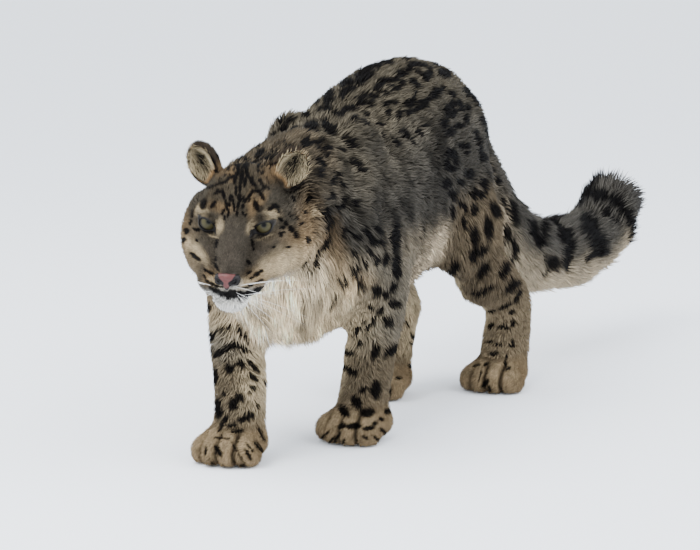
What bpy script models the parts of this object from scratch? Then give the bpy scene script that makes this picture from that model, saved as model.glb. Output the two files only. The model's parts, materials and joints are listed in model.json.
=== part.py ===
"""A snow leopard, life size, walking with its head low and its right forepaw leading.

The frame is the animal's own: +Z up, the animal faces -Y, its left side is +X, and the
floor is at Z = 0. The solids are the outside of the winter coat. The body and the head
are each built whole, from lofted tubes and rounded muscles fused by a voxel remesh, and
then parted with thin cuts into the pieces that a person would name.
"""

import math

import bmesh
import bpy
import numpy as np
from mathutils import Matrix, Vector

# Driving dimensions of the animal, in metres.
WITHERS_HEIGHT = 0.540
RUMP_HEIGHT = 0.622
TAIL_RADIUS = 0.066
FORELEG_RADIUS = 0.045
HINDLEG_RADIUS = 0.047
PAW_WIDTH = 0.122
EYE_SPACING = 0.086
EYE_RADIUS = 0.0150
EYE_ROOM = 0.0014

# Where the four paws stand: the middle of each, on the floor.
FORE_PAW = {"right": (-0.038, -0.356), "left": (0.072, -0.132)}
HIND_PAW = {"right": (-0.054, 0.205), "left": (0.108, 0.352)}

# The head's own frame has its origin midway between the eyes.
HEAD_AT = Vector((0.040, -0.485, 0.410))
HEAD_YAW = math.radians(17)
HEAD_PITCH = math.radians(8)
HEAD_ROLL = math.radians(2)

# How the solids are made.
RING_POINTS = 24
STEPS_BETWEEN = 4
BODY_VOXEL = 0.007
HEAD_VOXEL = 0.004
BODY_SHARE = 0.060
PAW_SHARE = 0.105
HEAD_SHARE = 0.085
TRIM_SHARE = 0.34
CUT_GAP = 0.0016
MERGE = 0.00002
SMOOTHING = 10

# Where the body is parted. The floor is raised by SOLE_CUT to leave each paw a flat sole.
SOLE_CUT = 0.006
HEAD_BACK = 0.105
NECK_FOOT = (0.010, -0.295, 0.405)
NECK_SLOPE = (0.10, -0.86, 0.50)
PAW_TOP = 0.066
SHIN_TOP = {"fore": 0.172, "hind": 0.178}
LEG_HALF_WIDTH = 0.071
LEG_FRONT = 0.085
LEG_BACK = 0.052
HAUNCH_SPAN = {"fore": 0.110, "hind": 0.135}
HAUNCH_SLOPE = {"fore": (0.80, -0.60), "hind": (0.90, -0.436)}
TAIL_CUTS = {"tail_base": 0.450, "tail_middle": 0.640, "tail_end": 0.815, "tail_tip": 0.960}

# Half sides and reaches of the cutting blocks, which only have to clear what they cut.
HEAD_BLOCK = 0.30
NECK_BLOCK = 0.17
THROAT_BLOCK = 0.24
PAW_BLOCK = 0.16
WHOLE_BLOCK = 3.0

SIDES = {"left": 1.0, "right": -1.0}


def clear_scene():
    for old in list(bpy.data.objects):
        bpy.data.objects.remove(old, do_unlink=True)


def new_collection(name):
    group = bpy.data.collections.new(name)
    bpy.context.scene.collection.children.link(group)
    return group


def material(name, colour, roughness):
    made = bpy.data.materials.new(name)
    made.use_nodes = True
    shader = made.node_tree.nodes["Principled BSDF"]
    shader.inputs["Base Color"].default_value = (*colour, 1.0)
    shader.inputs["Roughness"].default_value = roughness
    shader.inputs["Metallic"].default_value = 0.0
    return made


def mesh_object(name, shape, place=None):
    """A new object from a bmesh, in no collection yet."""
    data = bpy.data.meshes.new(name)
    shape.to_mesh(data)
    shape.free()
    made = bpy.data.objects.new(name, data)
    if place is not None:
        made.data.transform(place)
    return made


def between(rows, steps):
    """The rows with Catmull-Rom rows put between them."""
    rows = np.array(rows, float)
    ends = np.vstack([2 * rows[0] - rows[1], rows, 2 * rows[-1] - rows[-2]])
    found = []
    for i in range(1, len(ends) - 2):
        a, b, c, d = ends[i - 1 : i + 3]
        for t in np.arange(steps) / steps:
            found.append(
                0.5 * (2 * b + (c - a) * t + (2 * a - 5 * b + 4 * c - d) * t**2
                       + (3 * b - a - 3 * c + d) * t**3)
            )
    found.append(rows[-1])
    return np.array(found)


def tube(stations, across=(1, 0, 0)):
    """A closed tube through stations of (x, y, z, half width, half depth), with round ends.

    The width lies along `across`, and the depth at right angles to it and to the path.
    """
    rows = between(stations, STEPS_BETWEEN)
    path = [Vector(row[:3]) for row in rows]
    shape = bmesh.new()
    rings = []
    for i, centre in enumerate(path):
        ahead = (path[min(i + 1, len(path) - 1)] - path[max(i - 1, 0)]).normalized()
        side = (Vector(across) - ahead * ahead.dot(Vector(across))).normalized()
        up = side.cross(ahead)
        half_width, half_depth = rows[i][3:]
        ring = []
        for k in range(RING_POINTS):
            turn = 2 * math.pi * k / RING_POINTS
            offset = side * half_width * math.cos(turn) + up * half_depth * math.sin(turn)
            ring.append(shape.verts.new(centre + offset))
        rings.append(ring)
    for first, second in zip(rings, rings[1:]):
        for k in range(RING_POINTS):
            after = (k + 1) % RING_POINTS
            shape.faces.new((first[k], first[after], second[after], second[k]))
    for ring, centre, before in ((rings[0], path[0], path[1]), (rings[-1], path[-1], path[-2])):
        reach = (ring[0].co - centre).length * 0.5
        tip = shape.verts.new(centre + (centre - before).normalized() * reach)
        for k in range(RING_POINTS):
            shape.faces.new((ring[k], ring[(k + 1) % RING_POINTS], tip))
    bmesh.ops.recalc_face_normals(shape, faces=shape.faces)
    return shape


def ball(centre, radii, turn=(0, 0, 0), around=18):
    """An ellipsoid, turned by degrees about X, Y and Z."""
    shape = bmesh.new()
    bmesh.ops.create_uvsphere(shape, u_segments=around, v_segments=around * 2 // 3, radius=1.0)
    angles = [math.radians(a) for a in turn]
    rotation = Matrix.Rotation(angles[2], 4, "Z") @ Matrix.Rotation(angles[1], 4, "Y")
    rotation = rotation @ Matrix.Rotation(angles[0], 4, "X")
    place = Matrix.Translation(centre) @ rotation @ Matrix.Diagonal((*radii, 1.0))
    bmesh.ops.transform(shape, matrix=place, verts=shape.verts)
    return shape


def fused(name, shapes, voxel):
    """One closed skin round all the shapes, smoothed."""
    whole = bmesh.new()
    for shape in shapes:
        data = bpy.data.meshes.new("piece")
        shape.to_mesh(data)
        shape.free()
        whole.from_mesh(data)
        bpy.data.meshes.remove(data)
    made = linked(mesh_object(name, whole))
    remesh = made.modifiers.new("fuse", "REMESH")
    remesh.mode = "VOXEL"
    remesh.voxel_size = voxel
    soften = made.modifiers.new("soften", "SMOOTH")
    soften.factor = 0.5
    soften.iterations = SMOOTHING
    return baked(made)


def thinned(made, ratio):
    """The same shape from fewer triangles, without the slivers and crumbs that cuts leave."""
    shape = bmesh.new()
    shape.from_mesh(made.data)
    bmesh.ops.remove_doubles(shape, verts=shape.verts, dist=MERGE)
    bmesh.ops.dissolve_degenerate(shape, edges=shape.edges, dist=MERGE)
    bmesh.ops.triangulate(shape, faces=shape.faces, quad_method="SHORT_EDGE")
    corners = {}
    for face in shape.faces:
        corners.setdefault(frozenset(face.verts), []).append(face)
    doubled = [face for same in corners.values() if len(same) > 1 for face in same]
    bmesh.ops.delete(shape, geom=doubled, context="FACES")
    crumbs = sorted(islands(shape), key=len)[:-1]
    bmesh.ops.delete(shape, geom=[v for crumb in crumbs for v in crumb], context="VERTS")
    shape.to_mesh(made.data)
    shape.free()
    thin = made.modifiers.new("thin", "DECIMATE")
    thin.ratio = ratio
    return baked(made)


def islands(shape):
    """The vertices of each separate body of a bmesh."""
    left = set(shape.verts)
    while left:
        edge, found = [left.pop()], []
        while edge:
            vertex = edge.pop()
            found.append(vertex)
            for link in vertex.link_edges:
                other = link.other_vert(vertex)
                if other in left:
                    left.remove(other)
                    edge.append(other)
        yield found


def baked(made):
    """Replaces the object's mesh with its evaluated one, and clears its modifiers."""
    graph = bpy.context.evaluated_depsgraph_get()
    graph.update()
    data = bpy.data.meshes.new_from_object(made.evaluated_get(graph))
    made.modifiers.clear()
    made.data = data
    return made


def boolean(target, cutter, operation):
    cut = target.modifiers.new("cut", "BOOLEAN")
    cut.operation = operation
    cut.solver = "EXACT"
    cut.object = cutter
    baked(target)


def linked(made):
    bpy.context.scene.collection.objects.link(made)
    return made


def block(point, normal, half, reach, start):
    """A box on a plane, from `start` above it to `reach` above it, whose second side lies along Y."""
    up = Vector(normal).normalized()
    along = Vector((0, 1, 0)) if abs(up.y) < 0.95 else Vector((0, 0, 1))
    along = (along - up * up.dot(along)).normalized()
    across = along.cross(up)
    turn = Matrix((across, along, up)).transposed().to_4x4()
    fit = Matrix.Translation((0, 0, (start + reach) / 2)) @ Matrix.Diagonal(
        (2 * half[0], 2 * half[1], reach - start, 1.0)
    )
    shape = bmesh.new()
    bmesh.ops.create_cube(shape, size=1.0)
    bmesh.ops.transform(shape, matrix=Matrix.Translation(point) @ turn @ fit, verts=shape.verts)
    return linked(mesh_object("block", shape))


def parted(whole, name, point, normal, half, reach):
    """Cuts off what lies beyond a plane, as a new object, with a thin gap between the two."""
    piece = linked(bpy.data.objects.new(name, whole.data.copy()))
    wide = [side + CUT_GAP for side in half]
    inner = block(point, normal, half, reach, CUT_GAP / 2)
    outer = block(point, normal, wide, reach + CUT_GAP / 2, -CUT_GAP / 2)
    boolean(piece, inner, "INTERSECT")
    boolean(whole, outer, "DIFFERENCE")
    for cutter in (inner, outer):
        bpy.data.objects.remove(cutter, do_unlink=True)
    return piece


# The trunk: (y, x, top, bottom, half width), from the chest to the root of the tail.
TRUNK = [
    (-0.350, 0.018, 0.460, 0.280, 0.060),
    (-0.320, 0.014, 0.490, 0.220, 0.092),
    (-0.260, 0.008, 0.514, 0.184, 0.112),
    (-0.170, 0.002, 0.530, 0.182, 0.124),
    (-0.080, 0.000, WITHERS_HEIGHT + 0.010, 0.190, 0.130),
    (0.010, 0.000, 0.584, 0.200, 0.132),
    (0.100, 0.002, 0.612, 0.214, 0.130),
    (0.185, 0.005, RUMP_HEIGHT, 0.238, 0.122),
    (0.260, 0.008, 0.608, 0.274, 0.112),
    (0.325, 0.011, 0.564, 0.316, 0.096),
    (0.380, 0.014, 0.508, 0.360, 0.070),
]

# The neck, in the same terms, from inside the chest to inside the head.
NECK = [
    (-0.160, 0.002, 0.534, 0.250, 0.104),
    (-0.240, 0.008, 0.532, 0.262, 0.104),
    (-0.310, 0.016, 0.522, 0.290, 0.102),
    (-0.370, 0.024, 0.508, 0.320, 0.096),
    (-0.430, 0.034, 0.490, 0.345, 0.080),
]

# The tail's path from the rump: (x, y, z), and its half thickness as a share of TAIL_RADIUS.
TAIL = [
    (0.014, 0.340, 0.500, 0.70),
    (0.016, 0.390, 0.444, 0.80),
    (0.021, 0.440, 0.366, 0.90),
    (0.030, 0.495, 0.290, 1.00),
    (0.042, 0.565, 0.234, 1.08),
    (0.054, 0.645, 0.206, 1.10),
    (0.062, 0.730, 0.196, 1.10),
    (0.067, 0.815, 0.195, 1.06),
    (0.069, 0.890, 0.207, 1.03),
    (0.070, 0.960, 0.238, 1.00),
    (0.070, 1.002, 0.284, 0.90),
]


def from_profile(rows):
    """Stations for a tube from rows of (y, x, top, bottom, half width)."""
    return [(x, y, (top + bottom) / 2, wide, (top - bottom) / 2) for y, x, top, bottom, wide in rows]


def tail_stations():
    return [(x, y, z, share * TAIL_RADIUS, share * TAIL_RADIUS) for x, y, z, share in TAIL]


def foreleg(side):
    """The shapes of a foreleg, and its elbow and wrist."""
    s = SIDES[side]
    paw_x, paw_y = FORE_PAW[side]
    leading = side == "right"
    blade = Vector((s * 0.066 - 0.002, -0.115, 0.470))
    shoulder = Vector((-0.098, -0.248, 0.355) if leading else (0.090, -0.205, 0.360))
    elbow = Vector((-0.102, -0.232, 0.258) if leading else (0.088, -0.084, 0.258))
    wrist = Vector((paw_x, paw_y + 0.022, 0.086))
    r = FORELEG_RADIUS
    shapes = [
        ball(blade, (0.040, 0.072, 0.082), (18, -10 * s, 0)),
        tube([
            (*(blade + Vector((0.004 * s, 0, -0.03))), 0.042, 0.074),
            (*shoulder, 0.052, 0.082),
            (*((shoulder + elbow) / 2), 0.052, 0.076),
            (*elbow, 0.047, 0.062),
        ]),
        tube([
            (*(elbow + Vector((0, 0.004, 0.050))), 0.046, 0.056),
            (*elbow, 0.048, 0.058),
            (*elbow.lerp(wrist, 0.5), r, 0.049),
            (*wrist, r * 0.96, 0.044),
            (paw_x, paw_y + 0.012, 0.050, r * 0.96, 0.042),
        ]),
    ]
    return shapes + paw(paw_x, paw_y, 4 if leading else -12), (elbow, wrist)


def hindleg(side):
    """The shapes of a hind leg, and its knee and hock."""
    s = SIDES[side]
    paw_x, paw_y = HIND_PAW[side]
    forward = -0.065 if side == "right" else 0.0
    hip = Vector((s * 0.060 + 0.006, 0.250, 0.450))
    knee = Vector((s * 0.078 + 0.012, 0.230 + forward, 0.284))
    hock = Vector((paw_x - 0.006 * s, paw_y + 0.062, 0.160))
    r = HINDLEG_RADIUS
    shapes = [
        ball(hip, (0.056, 0.094, 0.114), (-10, 0, 0)),
        tube([
            (*(hip + Vector((0, 0.008, 0.02))), 0.046, 0.084),
            (*(hip.lerp(knee, 0.45) + Vector((0, 0.014, 0))), 0.055, 0.096),
            (*knee, 0.050, 0.074),
            (*(knee + Vector((0, -0.004, -0.045))), 0.038, 0.044),
        ]),
        tube([
            (*(knee + Vector((0, 0.050, 0.060))), 0.048, 0.072),
            (*knee.lerp(hock, 0.35), 0.049, 0.064),
            (*knee.lerp(hock, 0.7), 0.045, 0.052),
            (*hock, 0.041, 0.042),
        ]),
        tube([
            (*(hock + Vector((0, 0.004, 0.012))), 0.038, 0.038),
            (*hock, 0.042, 0.042),
            (paw_x, paw_y + 0.040, 0.098, r * 0.96, 0.043),
            (paw_x, paw_y + 0.020, 0.050, r, 0.042),
        ]),
    ]
    return shapes + paw(paw_x, paw_y, -4 if side == "right" else 4), (knee, hock)


def paw(x, y, toe_out):
    """A broad, furred paw with four toes, standing on the floor."""
    half = PAW_WIDTH / 2
    turn = Matrix.Translation((x, y, 0)) @ Matrix.Rotation(math.radians(toe_out), 4, "Z")
    shapes = [
        ball((0, 0.014, 0.036), (half * 0.92, 0.052, 0.036)),
        ball((0, -0.012, 0.044), (half * 0.74, 0.040, 0.030), (-20, 0, 0)),
    ]
    for place, reach in ((-0.72, 0.0), (-0.26, 0.014), (0.26, 0.014), (0.72, 0.0)):
        centre = (place * half, -0.030 - reach, 0.026)
        shapes.append(ball(centre, (half * 0.31, 0.030, 0.026), (-14, 0, -14 * place)))
    for shape in shapes:
        bmesh.ops.transform(shape, matrix=turn, verts=shape.verts)
        for vertex in shape.verts:
            vertex.co.z = max(vertex.co.z, 0.0)
    return shapes


def head_frame():
    return (
        Matrix.Translation(HEAD_AT)
        @ Matrix.Rotation(HEAD_YAW, 4, "Z")
        @ Matrix.Rotation(HEAD_PITCH, 4, "X")
        @ Matrix.Rotation(HEAD_ROLL, 4, "Y")
    )


def head_shapes():
    """The head in its own frame: x to its left, -y ahead, z up."""
    shapes = [
        # The skull, the nape and the long slope from the forehead to the nose.
        ball((0, 0.062, 0.006), (0.068, 0.088, 0.074)),
        ball((0, 0.125, -0.012), (0.086, 0.080, 0.082)),
        tube([
            (0, 0.060, 0.032, 0.050, 0.040),
            (0, 0.020, 0.014, 0.040, 0.036),
            (0, -0.014, -0.014, 0.031, 0.034),
            (0, -0.044, -0.038, 0.027, 0.032),
            (0, -0.068, -0.056, 0.025, 0.026),
            (0, -0.078, -0.062, 0.021, 0.020),
        ]),
        # The jaws, from between the cheeks to the lips, and the chin under them.
        tube([
            (0, 0.060, -0.062, 0.066, 0.050),
            (0, 0.015, -0.074, 0.056, 0.046),
            (0, -0.022, -0.082, 0.046, 0.036),
            (0, -0.050, -0.088, 0.037, 0.028),
            (0, -0.064, -0.092, 0.028, 0.020),
        ]),
        ball((0, -0.044, -0.106), (0.031, 0.028, 0.019)),
    ]
    for s in SIDES.values():
        shapes += [
            # The whisker pad and the brow.
            ball((s * 0.023, -0.056, -0.078), (0.027, 0.031, 0.023), (20, 0, 12 * s)),
            ball((s * 0.036, 0.010, 0.018), (0.030, 0.028, 0.022), (0, 14 * s, 20 * s)),
            # The cheek, from the corner of the mouth over the cheekbone to its ruff.
            tube([
                (s * 0.020, -0.046, -0.074, 0.020, 0.022),
                (s * 0.038, -0.014, -0.058, 0.027, 0.034),
                (s * 0.053, 0.024, -0.044, 0.033, 0.048),
                (s * 0.063, 0.064, -0.038, 0.038, 0.062),
                (s * 0.064, 0.104, -0.036, 0.038, 0.066),
            ]),
        ]
    return shapes


def ear(side, seats):
    """A short round cup, open forwards and out, whose foot is cut to what it grows from."""
    s = SIDES[side]
    made = mesh_object(f"ear_{side}", ball((0, 0, 0), (0.030, 0.020, 0.036)))
    hollow = mesh_object("hollow", ball((0, -0.015, 0.002), (0.0245, 0.019, 0.029)))
    place = (
        head_frame()
        @ Matrix.Translation((s * 0.069, 0.088, 0.070))
        @ Matrix.Rotation(math.radians(24 * s), 4, "Z")
        @ Matrix.Rotation(math.radians(20 * s), 4, "Y")
        @ Matrix.Rotation(math.radians(6), 4, "X")
    )
    for shape in (made, hollow):
        shape.data.transform(place)
        linked(shape)
    for cutter in [hollow] + [grown_copy(seat, CUT_GAP) for seat in seats]:
        boolean(made, cutter, "DIFFERENCE")
        bpy.data.objects.remove(cutter, do_unlink=True)
    return made


def grown_copy(source, by):
    """A copy of a solid whose surface stands out by a small distance."""
    made = linked(bpy.data.objects.new("grown", source.data.copy()))
    displace = made.modifiers.new("grow", "DISPLACE")
    displace.strength = by
    displace.mid_level = 0.0
    return baked(made)


def eye(side):
    s = SIDES[side]
    shape = ball((s * EYE_SPACING / 2, 0.006, 0.0), (EYE_RADIUS,) * 3, around=15)
    return mesh_object(f"eye_{side}", shape, head_frame())


def eye_opening(side):
    """The almond that the lids leave open, with its ball's room behind it."""
    s = SIDES[side]
    middle = EYE_SPACING / 2
    almond = ball((s * (middle + 0.002), -0.014, 0.0), (0.0145, 0.022, 0.0105), (0, 10 * s, -8 * s))
    socket = ball((s * middle, 0.006, 0.0), (EYE_RADIUS + EYE_ROOM,) * 3)
    return mesh_object("almond", almond, head_frame()), mesh_object("socket", socket, head_frame())


def nose():
    """The bare leather at the tip of the muzzle."""
    shape = tube([
        (0, -0.070, -0.052, 0.014, 0.010),
        (0, -0.080, -0.055, 0.021, 0.012),
        (0, -0.087, -0.062, 0.019, 0.012),
        (0, -0.087, -0.072, 0.008, 0.008),
    ])
    return mesh_object("nose", shape, head_frame())


def build():
    clear_scene()
    parts = new_collection("snow_leopard")
    coat = material("coat", (0.42, 0.37, 0.30), 0.9)
    iris = material("iris", (0.45, 0.42, 0.28), 0.12)
    leather = material("nose_leather", (0.42, 0.20, 0.18), 0.5)

    limbs = {}
    shapes = [tube(from_profile(TRUNK)), tube(from_profile(NECK)), tube(tail_stations())]
    for side in SIDES:
        for kind, maker in (("fore", foreleg), ("hind", hindleg)):
            made, joints = maker(side)
            shapes += made
            limbs[kind, side] = joints
    body = fused("trunk", shapes, BODY_VOXEL)

    frame = head_frame()
    solids = head_shapes()
    for shape in solids:
        bmesh.ops.transform(shape, matrix=frame, verts=shape.verts)
    head = fused("head", solids, HEAD_VOXEL)
    pieces = [body, head] + cut_pieces(body, head, limbs)
    for made in pieces:
        share = BODY_SHARE
        if made is head:
            share = HEAD_SHARE
        elif made.name.startswith(("ear", "nose")):
            share = TRIM_SHARE
        elif "paw" in made.name:
            share = PAW_SHARE
        if not made.name.startswith("eye"):
            thinned(made, share)
        if "paw" in made.name:
            ground = block((0, 0, SOLE_CUT), (0, 0, -1), (WHOLE_BLOCK,) * 2, WHOLE_BLOCK, 0.0)
            boolean(made, ground, "DIFFERENCE")
            bpy.data.objects.remove(ground, do_unlink=True)
        made.data.materials.clear()
        finish = iris if "eye" in made.name else leather if made.name == "nose" else coat
        made.data.materials.append(finish)
        for group in made.users_collection:
            group.objects.unlink(made)
        parts.objects.link(made)
    settle(pieces)


def cut_pieces(body, head, limbs):
    """Parts the body and the head into their named pieces."""
    made = []
    # The head ends behind the ears, square to its own frame.
    frame = head_frame()
    back = frame @ Vector((0, HEAD_BACK, 0))
    rear = (frame.to_3x3() @ Vector((0, 1, 0))).normalized()
    waste = [
        parted(head, "waste", back, rear, (HEAD_BLOCK,) * 2, HEAD_BLOCK),
        parted(body, "waste", back, -rear, (NECK_BLOCK,) * 2, HEAD_BLOCK),
    ]
    for scrap in waste:
        bpy.data.objects.remove(scrap, do_unlink=True)

    # Each leg is cut below the body, and its paw at the wrist or the hock.
    for (kind, side), (upper, lower) in limbs.items():
        paw_x, paw_y = (FORE_PAW if kind == "fore" else HIND_PAW)[side]
        middle = upper.lerp(lower, 0.5)
        front, behind = paw_y - LEG_FRONT, max(middle.y, lower.y) + LEG_BACK
        place = (paw_x * 0.9 + middle.x * 0.1, (front + behind) / 2)
        half = (LEG_HALF_WIDTH, (behind - front) / 2)
        down = (0, 0, -1)
        shin = parted(body, f"{kind}shin_{side}", (*place, SHIN_TOP[kind]), down, half, SHIN_TOP[kind] * 2)
        foot = parted(shin, f"{kind}paw_{side}", (*place, PAW_TOP), down, (PAW_BLOCK,) * 2, PAW_TOP * 2)
        made += [shin, foot]

    # The neck meets the trunk from the withers down to the throat.
    neck = parted(body, "neck", NECK_FOOT, NECK_SLOPE, (THROAT_BLOCK,) * 2, WHOLE_BLOCK)
    made.append(neck)
    tail = body
    for name, y in TAIL_CUTS.items():
        tail = parted(tail, name, (0, y, 0), (0, 1, 0), (WHOLE_BLOCK,) * 2, WHOLE_BLOCK)
        made.append(tail)

    # The upper leg is cut from the trunk at the shoulder or the haunch.
    for (kind, side), (upper, lower) in limbs.items():
        s = SIDES[side]
        if kind == "fore":
            seat = (s * 0.078, upper.y - 0.020, 0.262)
        else:
            seat = (s * 0.072 + 0.012, upper.y + 0.045, 0.300)
        out, rise = HAUNCH_SLOPE[kind]
        half = (WHOLE_BLOCK, HAUNCH_SPAN[kind])
        made.append(parted(body, f"{kind}leg_{side}", seat, (s * out, 0, rise), half, WHOLE_BLOCK))

    for side in SIDES:
        made += [eye(side), ear(side, (head, neck))]
    for side in SIDES:
        for cutter in eye_opening(side):
            boolean(head, linked(cutter), "DIFFERENCE")
            bpy.data.objects.remove(cutter, do_unlink=True)
    leather = linked(nose())
    seat = grown_copy(leather, CUT_GAP)
    boolean(head, seat, "DIFFERENCE")
    bpy.data.objects.remove(seat, do_unlink=True)
    return made + [leather]


def settle(pieces):
    """Moves the model so that its origin is under the middle of its box, on the floor."""
    corners = np.array([v.co for made in pieces for v in made.data.vertices])
    low, high = corners.min(axis=0), corners.max(axis=0)
    shift = Matrix.Translation((-(low[0] + high[0]) / 2, -(low[1] + high[1]) / 2, -low[2]))
    for made in pieces:
        made.data.transform(shift)


build()
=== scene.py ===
"""The finish of a life-size snow leopard: its skin, eyes, nose and whiskers, and its winter coat.

Lengths are in metres. +Z is up, the animal faces -Y and its left side is +X.
"""

import json
import math

import bmesh
import bpy
import numpy as np
from mathutils import Matrix, Vector
from mathutils.bvhtree import BVHTree
from mathutils.kdtree import KDTree

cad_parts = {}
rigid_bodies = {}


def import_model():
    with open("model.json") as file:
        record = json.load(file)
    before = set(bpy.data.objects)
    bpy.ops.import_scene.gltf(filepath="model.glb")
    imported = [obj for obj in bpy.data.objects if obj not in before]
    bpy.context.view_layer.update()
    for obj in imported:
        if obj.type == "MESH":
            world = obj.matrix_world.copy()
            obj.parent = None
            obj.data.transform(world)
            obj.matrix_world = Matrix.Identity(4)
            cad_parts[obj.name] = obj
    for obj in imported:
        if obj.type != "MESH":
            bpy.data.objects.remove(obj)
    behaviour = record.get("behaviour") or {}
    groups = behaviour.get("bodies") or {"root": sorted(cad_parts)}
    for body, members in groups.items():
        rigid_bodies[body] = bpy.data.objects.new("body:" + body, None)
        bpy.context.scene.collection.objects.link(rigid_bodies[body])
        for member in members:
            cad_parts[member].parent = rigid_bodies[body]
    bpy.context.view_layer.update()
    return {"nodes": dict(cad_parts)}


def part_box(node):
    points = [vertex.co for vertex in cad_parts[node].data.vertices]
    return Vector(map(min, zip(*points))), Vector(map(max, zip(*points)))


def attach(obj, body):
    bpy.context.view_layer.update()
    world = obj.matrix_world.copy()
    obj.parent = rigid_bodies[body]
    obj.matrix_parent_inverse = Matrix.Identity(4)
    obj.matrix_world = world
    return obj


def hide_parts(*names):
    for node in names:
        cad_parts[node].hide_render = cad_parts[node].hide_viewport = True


for leftover in list(bpy.data.objects):
    bpy.data.objects.remove(leftover, do_unlink=True)
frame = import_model()

# The view: a long lens a little above the animal's back, ahead of it and to its left. The
# withers show at a known place in the picture, and that fixes where the camera stands.
PICTURE = (700, 550)
VIEW_AZIMUTH = math.radians(27.0)
VIEW_ELEVATION = math.radians(9.5)
VIEW_DISTANCE = 4.6
LENS = 144.0
SENSOR = 36.0
WITHERS = Vector((-0.0288, -0.3560, 0.5390))
WITHERS_PIXEL = (312, 112)

FOCAL_PIXELS = LENS / SENSOR * PICTURE[0]
view_back = Vector((
    math.sin(VIEW_AZIMUTH) * math.cos(VIEW_ELEVATION),
    -math.cos(VIEW_AZIMUTH) * math.cos(VIEW_ELEVATION),
    math.sin(VIEW_ELEVATION),
))
view_right = Vector((math.cos(VIEW_AZIMUTH), math.sin(VIEW_AZIMUTH), 0.0))
view_up = view_back.cross(view_right)


def sight(pixel):
    """The direction in which the camera sees a pixel of the picture."""
    across = (pixel[0] - PICTURE[0] / 2) / FOCAL_PIXELS
    down = (pixel[1] - PICTURE[1] / 2) / FOCAL_PIXELS
    return view_right * across - view_up * down - view_back


camera_at = WITHERS - sight(WITHERS_PIXEL) * VIEW_DISTANCE
camera = bpy.data.objects.new("camera", bpy.data.cameras.new("camera"))
camera.data.lens = LENS
camera.data.sensor_width = SENSOR
camera.data.sensor_fit = "HORIZONTAL"
camera.data.clip_end = 50.0
camera.matrix_world = (
    Matrix.Translation(camera_at) @ Matrix((view_right, view_up, view_back)).transposed().to_4x4()
)
bpy.context.scene.collection.objects.link(camera)
bpy.context.scene.camera = camera

# The skin: one closed surface under the whole coat, from the lips to the tail's tip. It is
# the body's outside shape, fused from its solids and drawn in by the depth of the fur.
SKIN_VOXEL = 0.0062
SOLID_GROWTH = 0.0015
SAME_PLACE = 0.00002
FACE_MIDDLE = (0, -0.02, -0.03)
FACE_REACH = 0.105
FACE_BACK = 0.062
HEAD_YAW = math.radians(17)
HEAD_PITCH = math.radians(8)
HEAD_ROLL = math.radians(2)
EYE_BACK = 0.006
SIDES = {"left": 1.0, "right": -1.0}
EAR_NODES = ("ear_left", "ear_right")
TRIM_NODES = ("eye_left", "eye_right", "nose")

eye_middles = [sum(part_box(f"eye_{side}"), Vector()) / 2 for side in SIDES]
HEAD = (
    Matrix.Translation((eye_middles[0] + eye_middles[1]) / 2)
    @ Matrix.Rotation(HEAD_YAW, 4, "Z")
    @ Matrix.Rotation(HEAD_PITCH, 4, "X")
    @ Matrix.Rotation(HEAD_ROLL, 4, "Y")
    @ Matrix.Translation((0, -EYE_BACK, 0))
)
to_head = HEAD.inverted()
flesh = sorted(n for n in frame["nodes"] if n not in TRIM_NODES)


def rows(points, matrix):
    """Points, as rows of an array, moved by a matrix."""
    turn = np.array(matrix)
    return points @ turn[:3, :3].T + turn[:3, 3]


def numbers(items, name, width=3, kind=float):
    """One value of every item of a mesh, as rows of an array."""
    found = np.empty(len(items) * width, kind)
    items.foreach_get(name, found)
    return found.reshape(-1, width)


def coordinates(mesh):
    return numbers(mesh.vertices, "co")


def normals_of(mesh):
    return numbers(mesh.vertex_normals, "vector")


def placed(name, mesh):
    made = bpy.data.objects.new(name, mesh)
    bpy.context.scene.collection.objects.link(made)
    return made


def evaluated(made):
    """The mesh that an object's modifiers give; the object itself is removed."""
    graph = bpy.context.evaluated_depsgraph_get()
    graph.update()
    result = bpy.data.meshes.new_from_object(made.evaluated_get(graph))
    bpy.data.objects.remove(made, do_unlink=True)
    return result


def welded(node, growth):
    """A closed copy of a solid, with its surface moved outwards by `growth`."""
    shape = bmesh.new()
    shape.from_mesh(frame["nodes"][node].data)
    bmesh.ops.remove_doubles(shape, verts=shape.verts, dist=SAME_PLACE)
    bmesh.ops.recalc_face_normals(shape, faces=shape.faces)
    shape.normal_update()
    for vertex, normal in [(v, v.normal.copy()) for v in shape.verts]:
        vertex.co += normal * growth
    return shape


def remeshed(shapes, voxel, smoothing):
    """One surface round several closed shapes."""
    whole = bmesh.new()
    for shape in shapes:
        mesh = bpy.data.meshes.new("shape")
        shape.to_mesh(mesh)
        shape.free()
        whole.from_mesh(mesh)
        bpy.data.meshes.remove(mesh)
    mesh = bpy.data.meshes.new("whole")
    whole.to_mesh(mesh)
    whole.free()
    made = placed("whole", mesh)
    fuse = made.modifiers.new("fuse", "REMESH")
    fuse.mode = "VOXEL"
    fuse.voxel_size = voxel
    soften = made.modifiers.new("soften", "SMOOTH")
    soften.factor = 0.5
    soften.iterations = smoothing
    return evaluated(made)


def relaxed(values, pairs, rounds, hold=None):
    """Values on a mesh's vertices, evened out along its edges; `hold` keeps some as they are."""
    values = values.reshape(len(values), -1).astype(float)
    count = len(values)
    ends = np.concatenate([pairs[:, 0], pairs[:, 1]])
    others = np.concatenate([pairs[:, 1], pairs[:, 0]])
    valence = np.maximum(np.bincount(ends, minlength=count), 1)
    step = 0.6 if hold is None else 0.6 * (1 - hold)[:, None]
    for _ in range(rounds):
        columns = [np.bincount(ends, column[others], minlength=count) for column in values.T]
        values = values + (np.stack(columns, 1) / valence[:, None] - values) * step
    return values


def subdivided(shape, faces, cuts):
    """The faces of a shape, each cut into smaller ones."""
    edges = list({e for f in faces for e in f.edges})
    bmesh.ops.subdivide_edges(shape, edges=edges, cuts=cuts, use_grid_fill=True)


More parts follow.
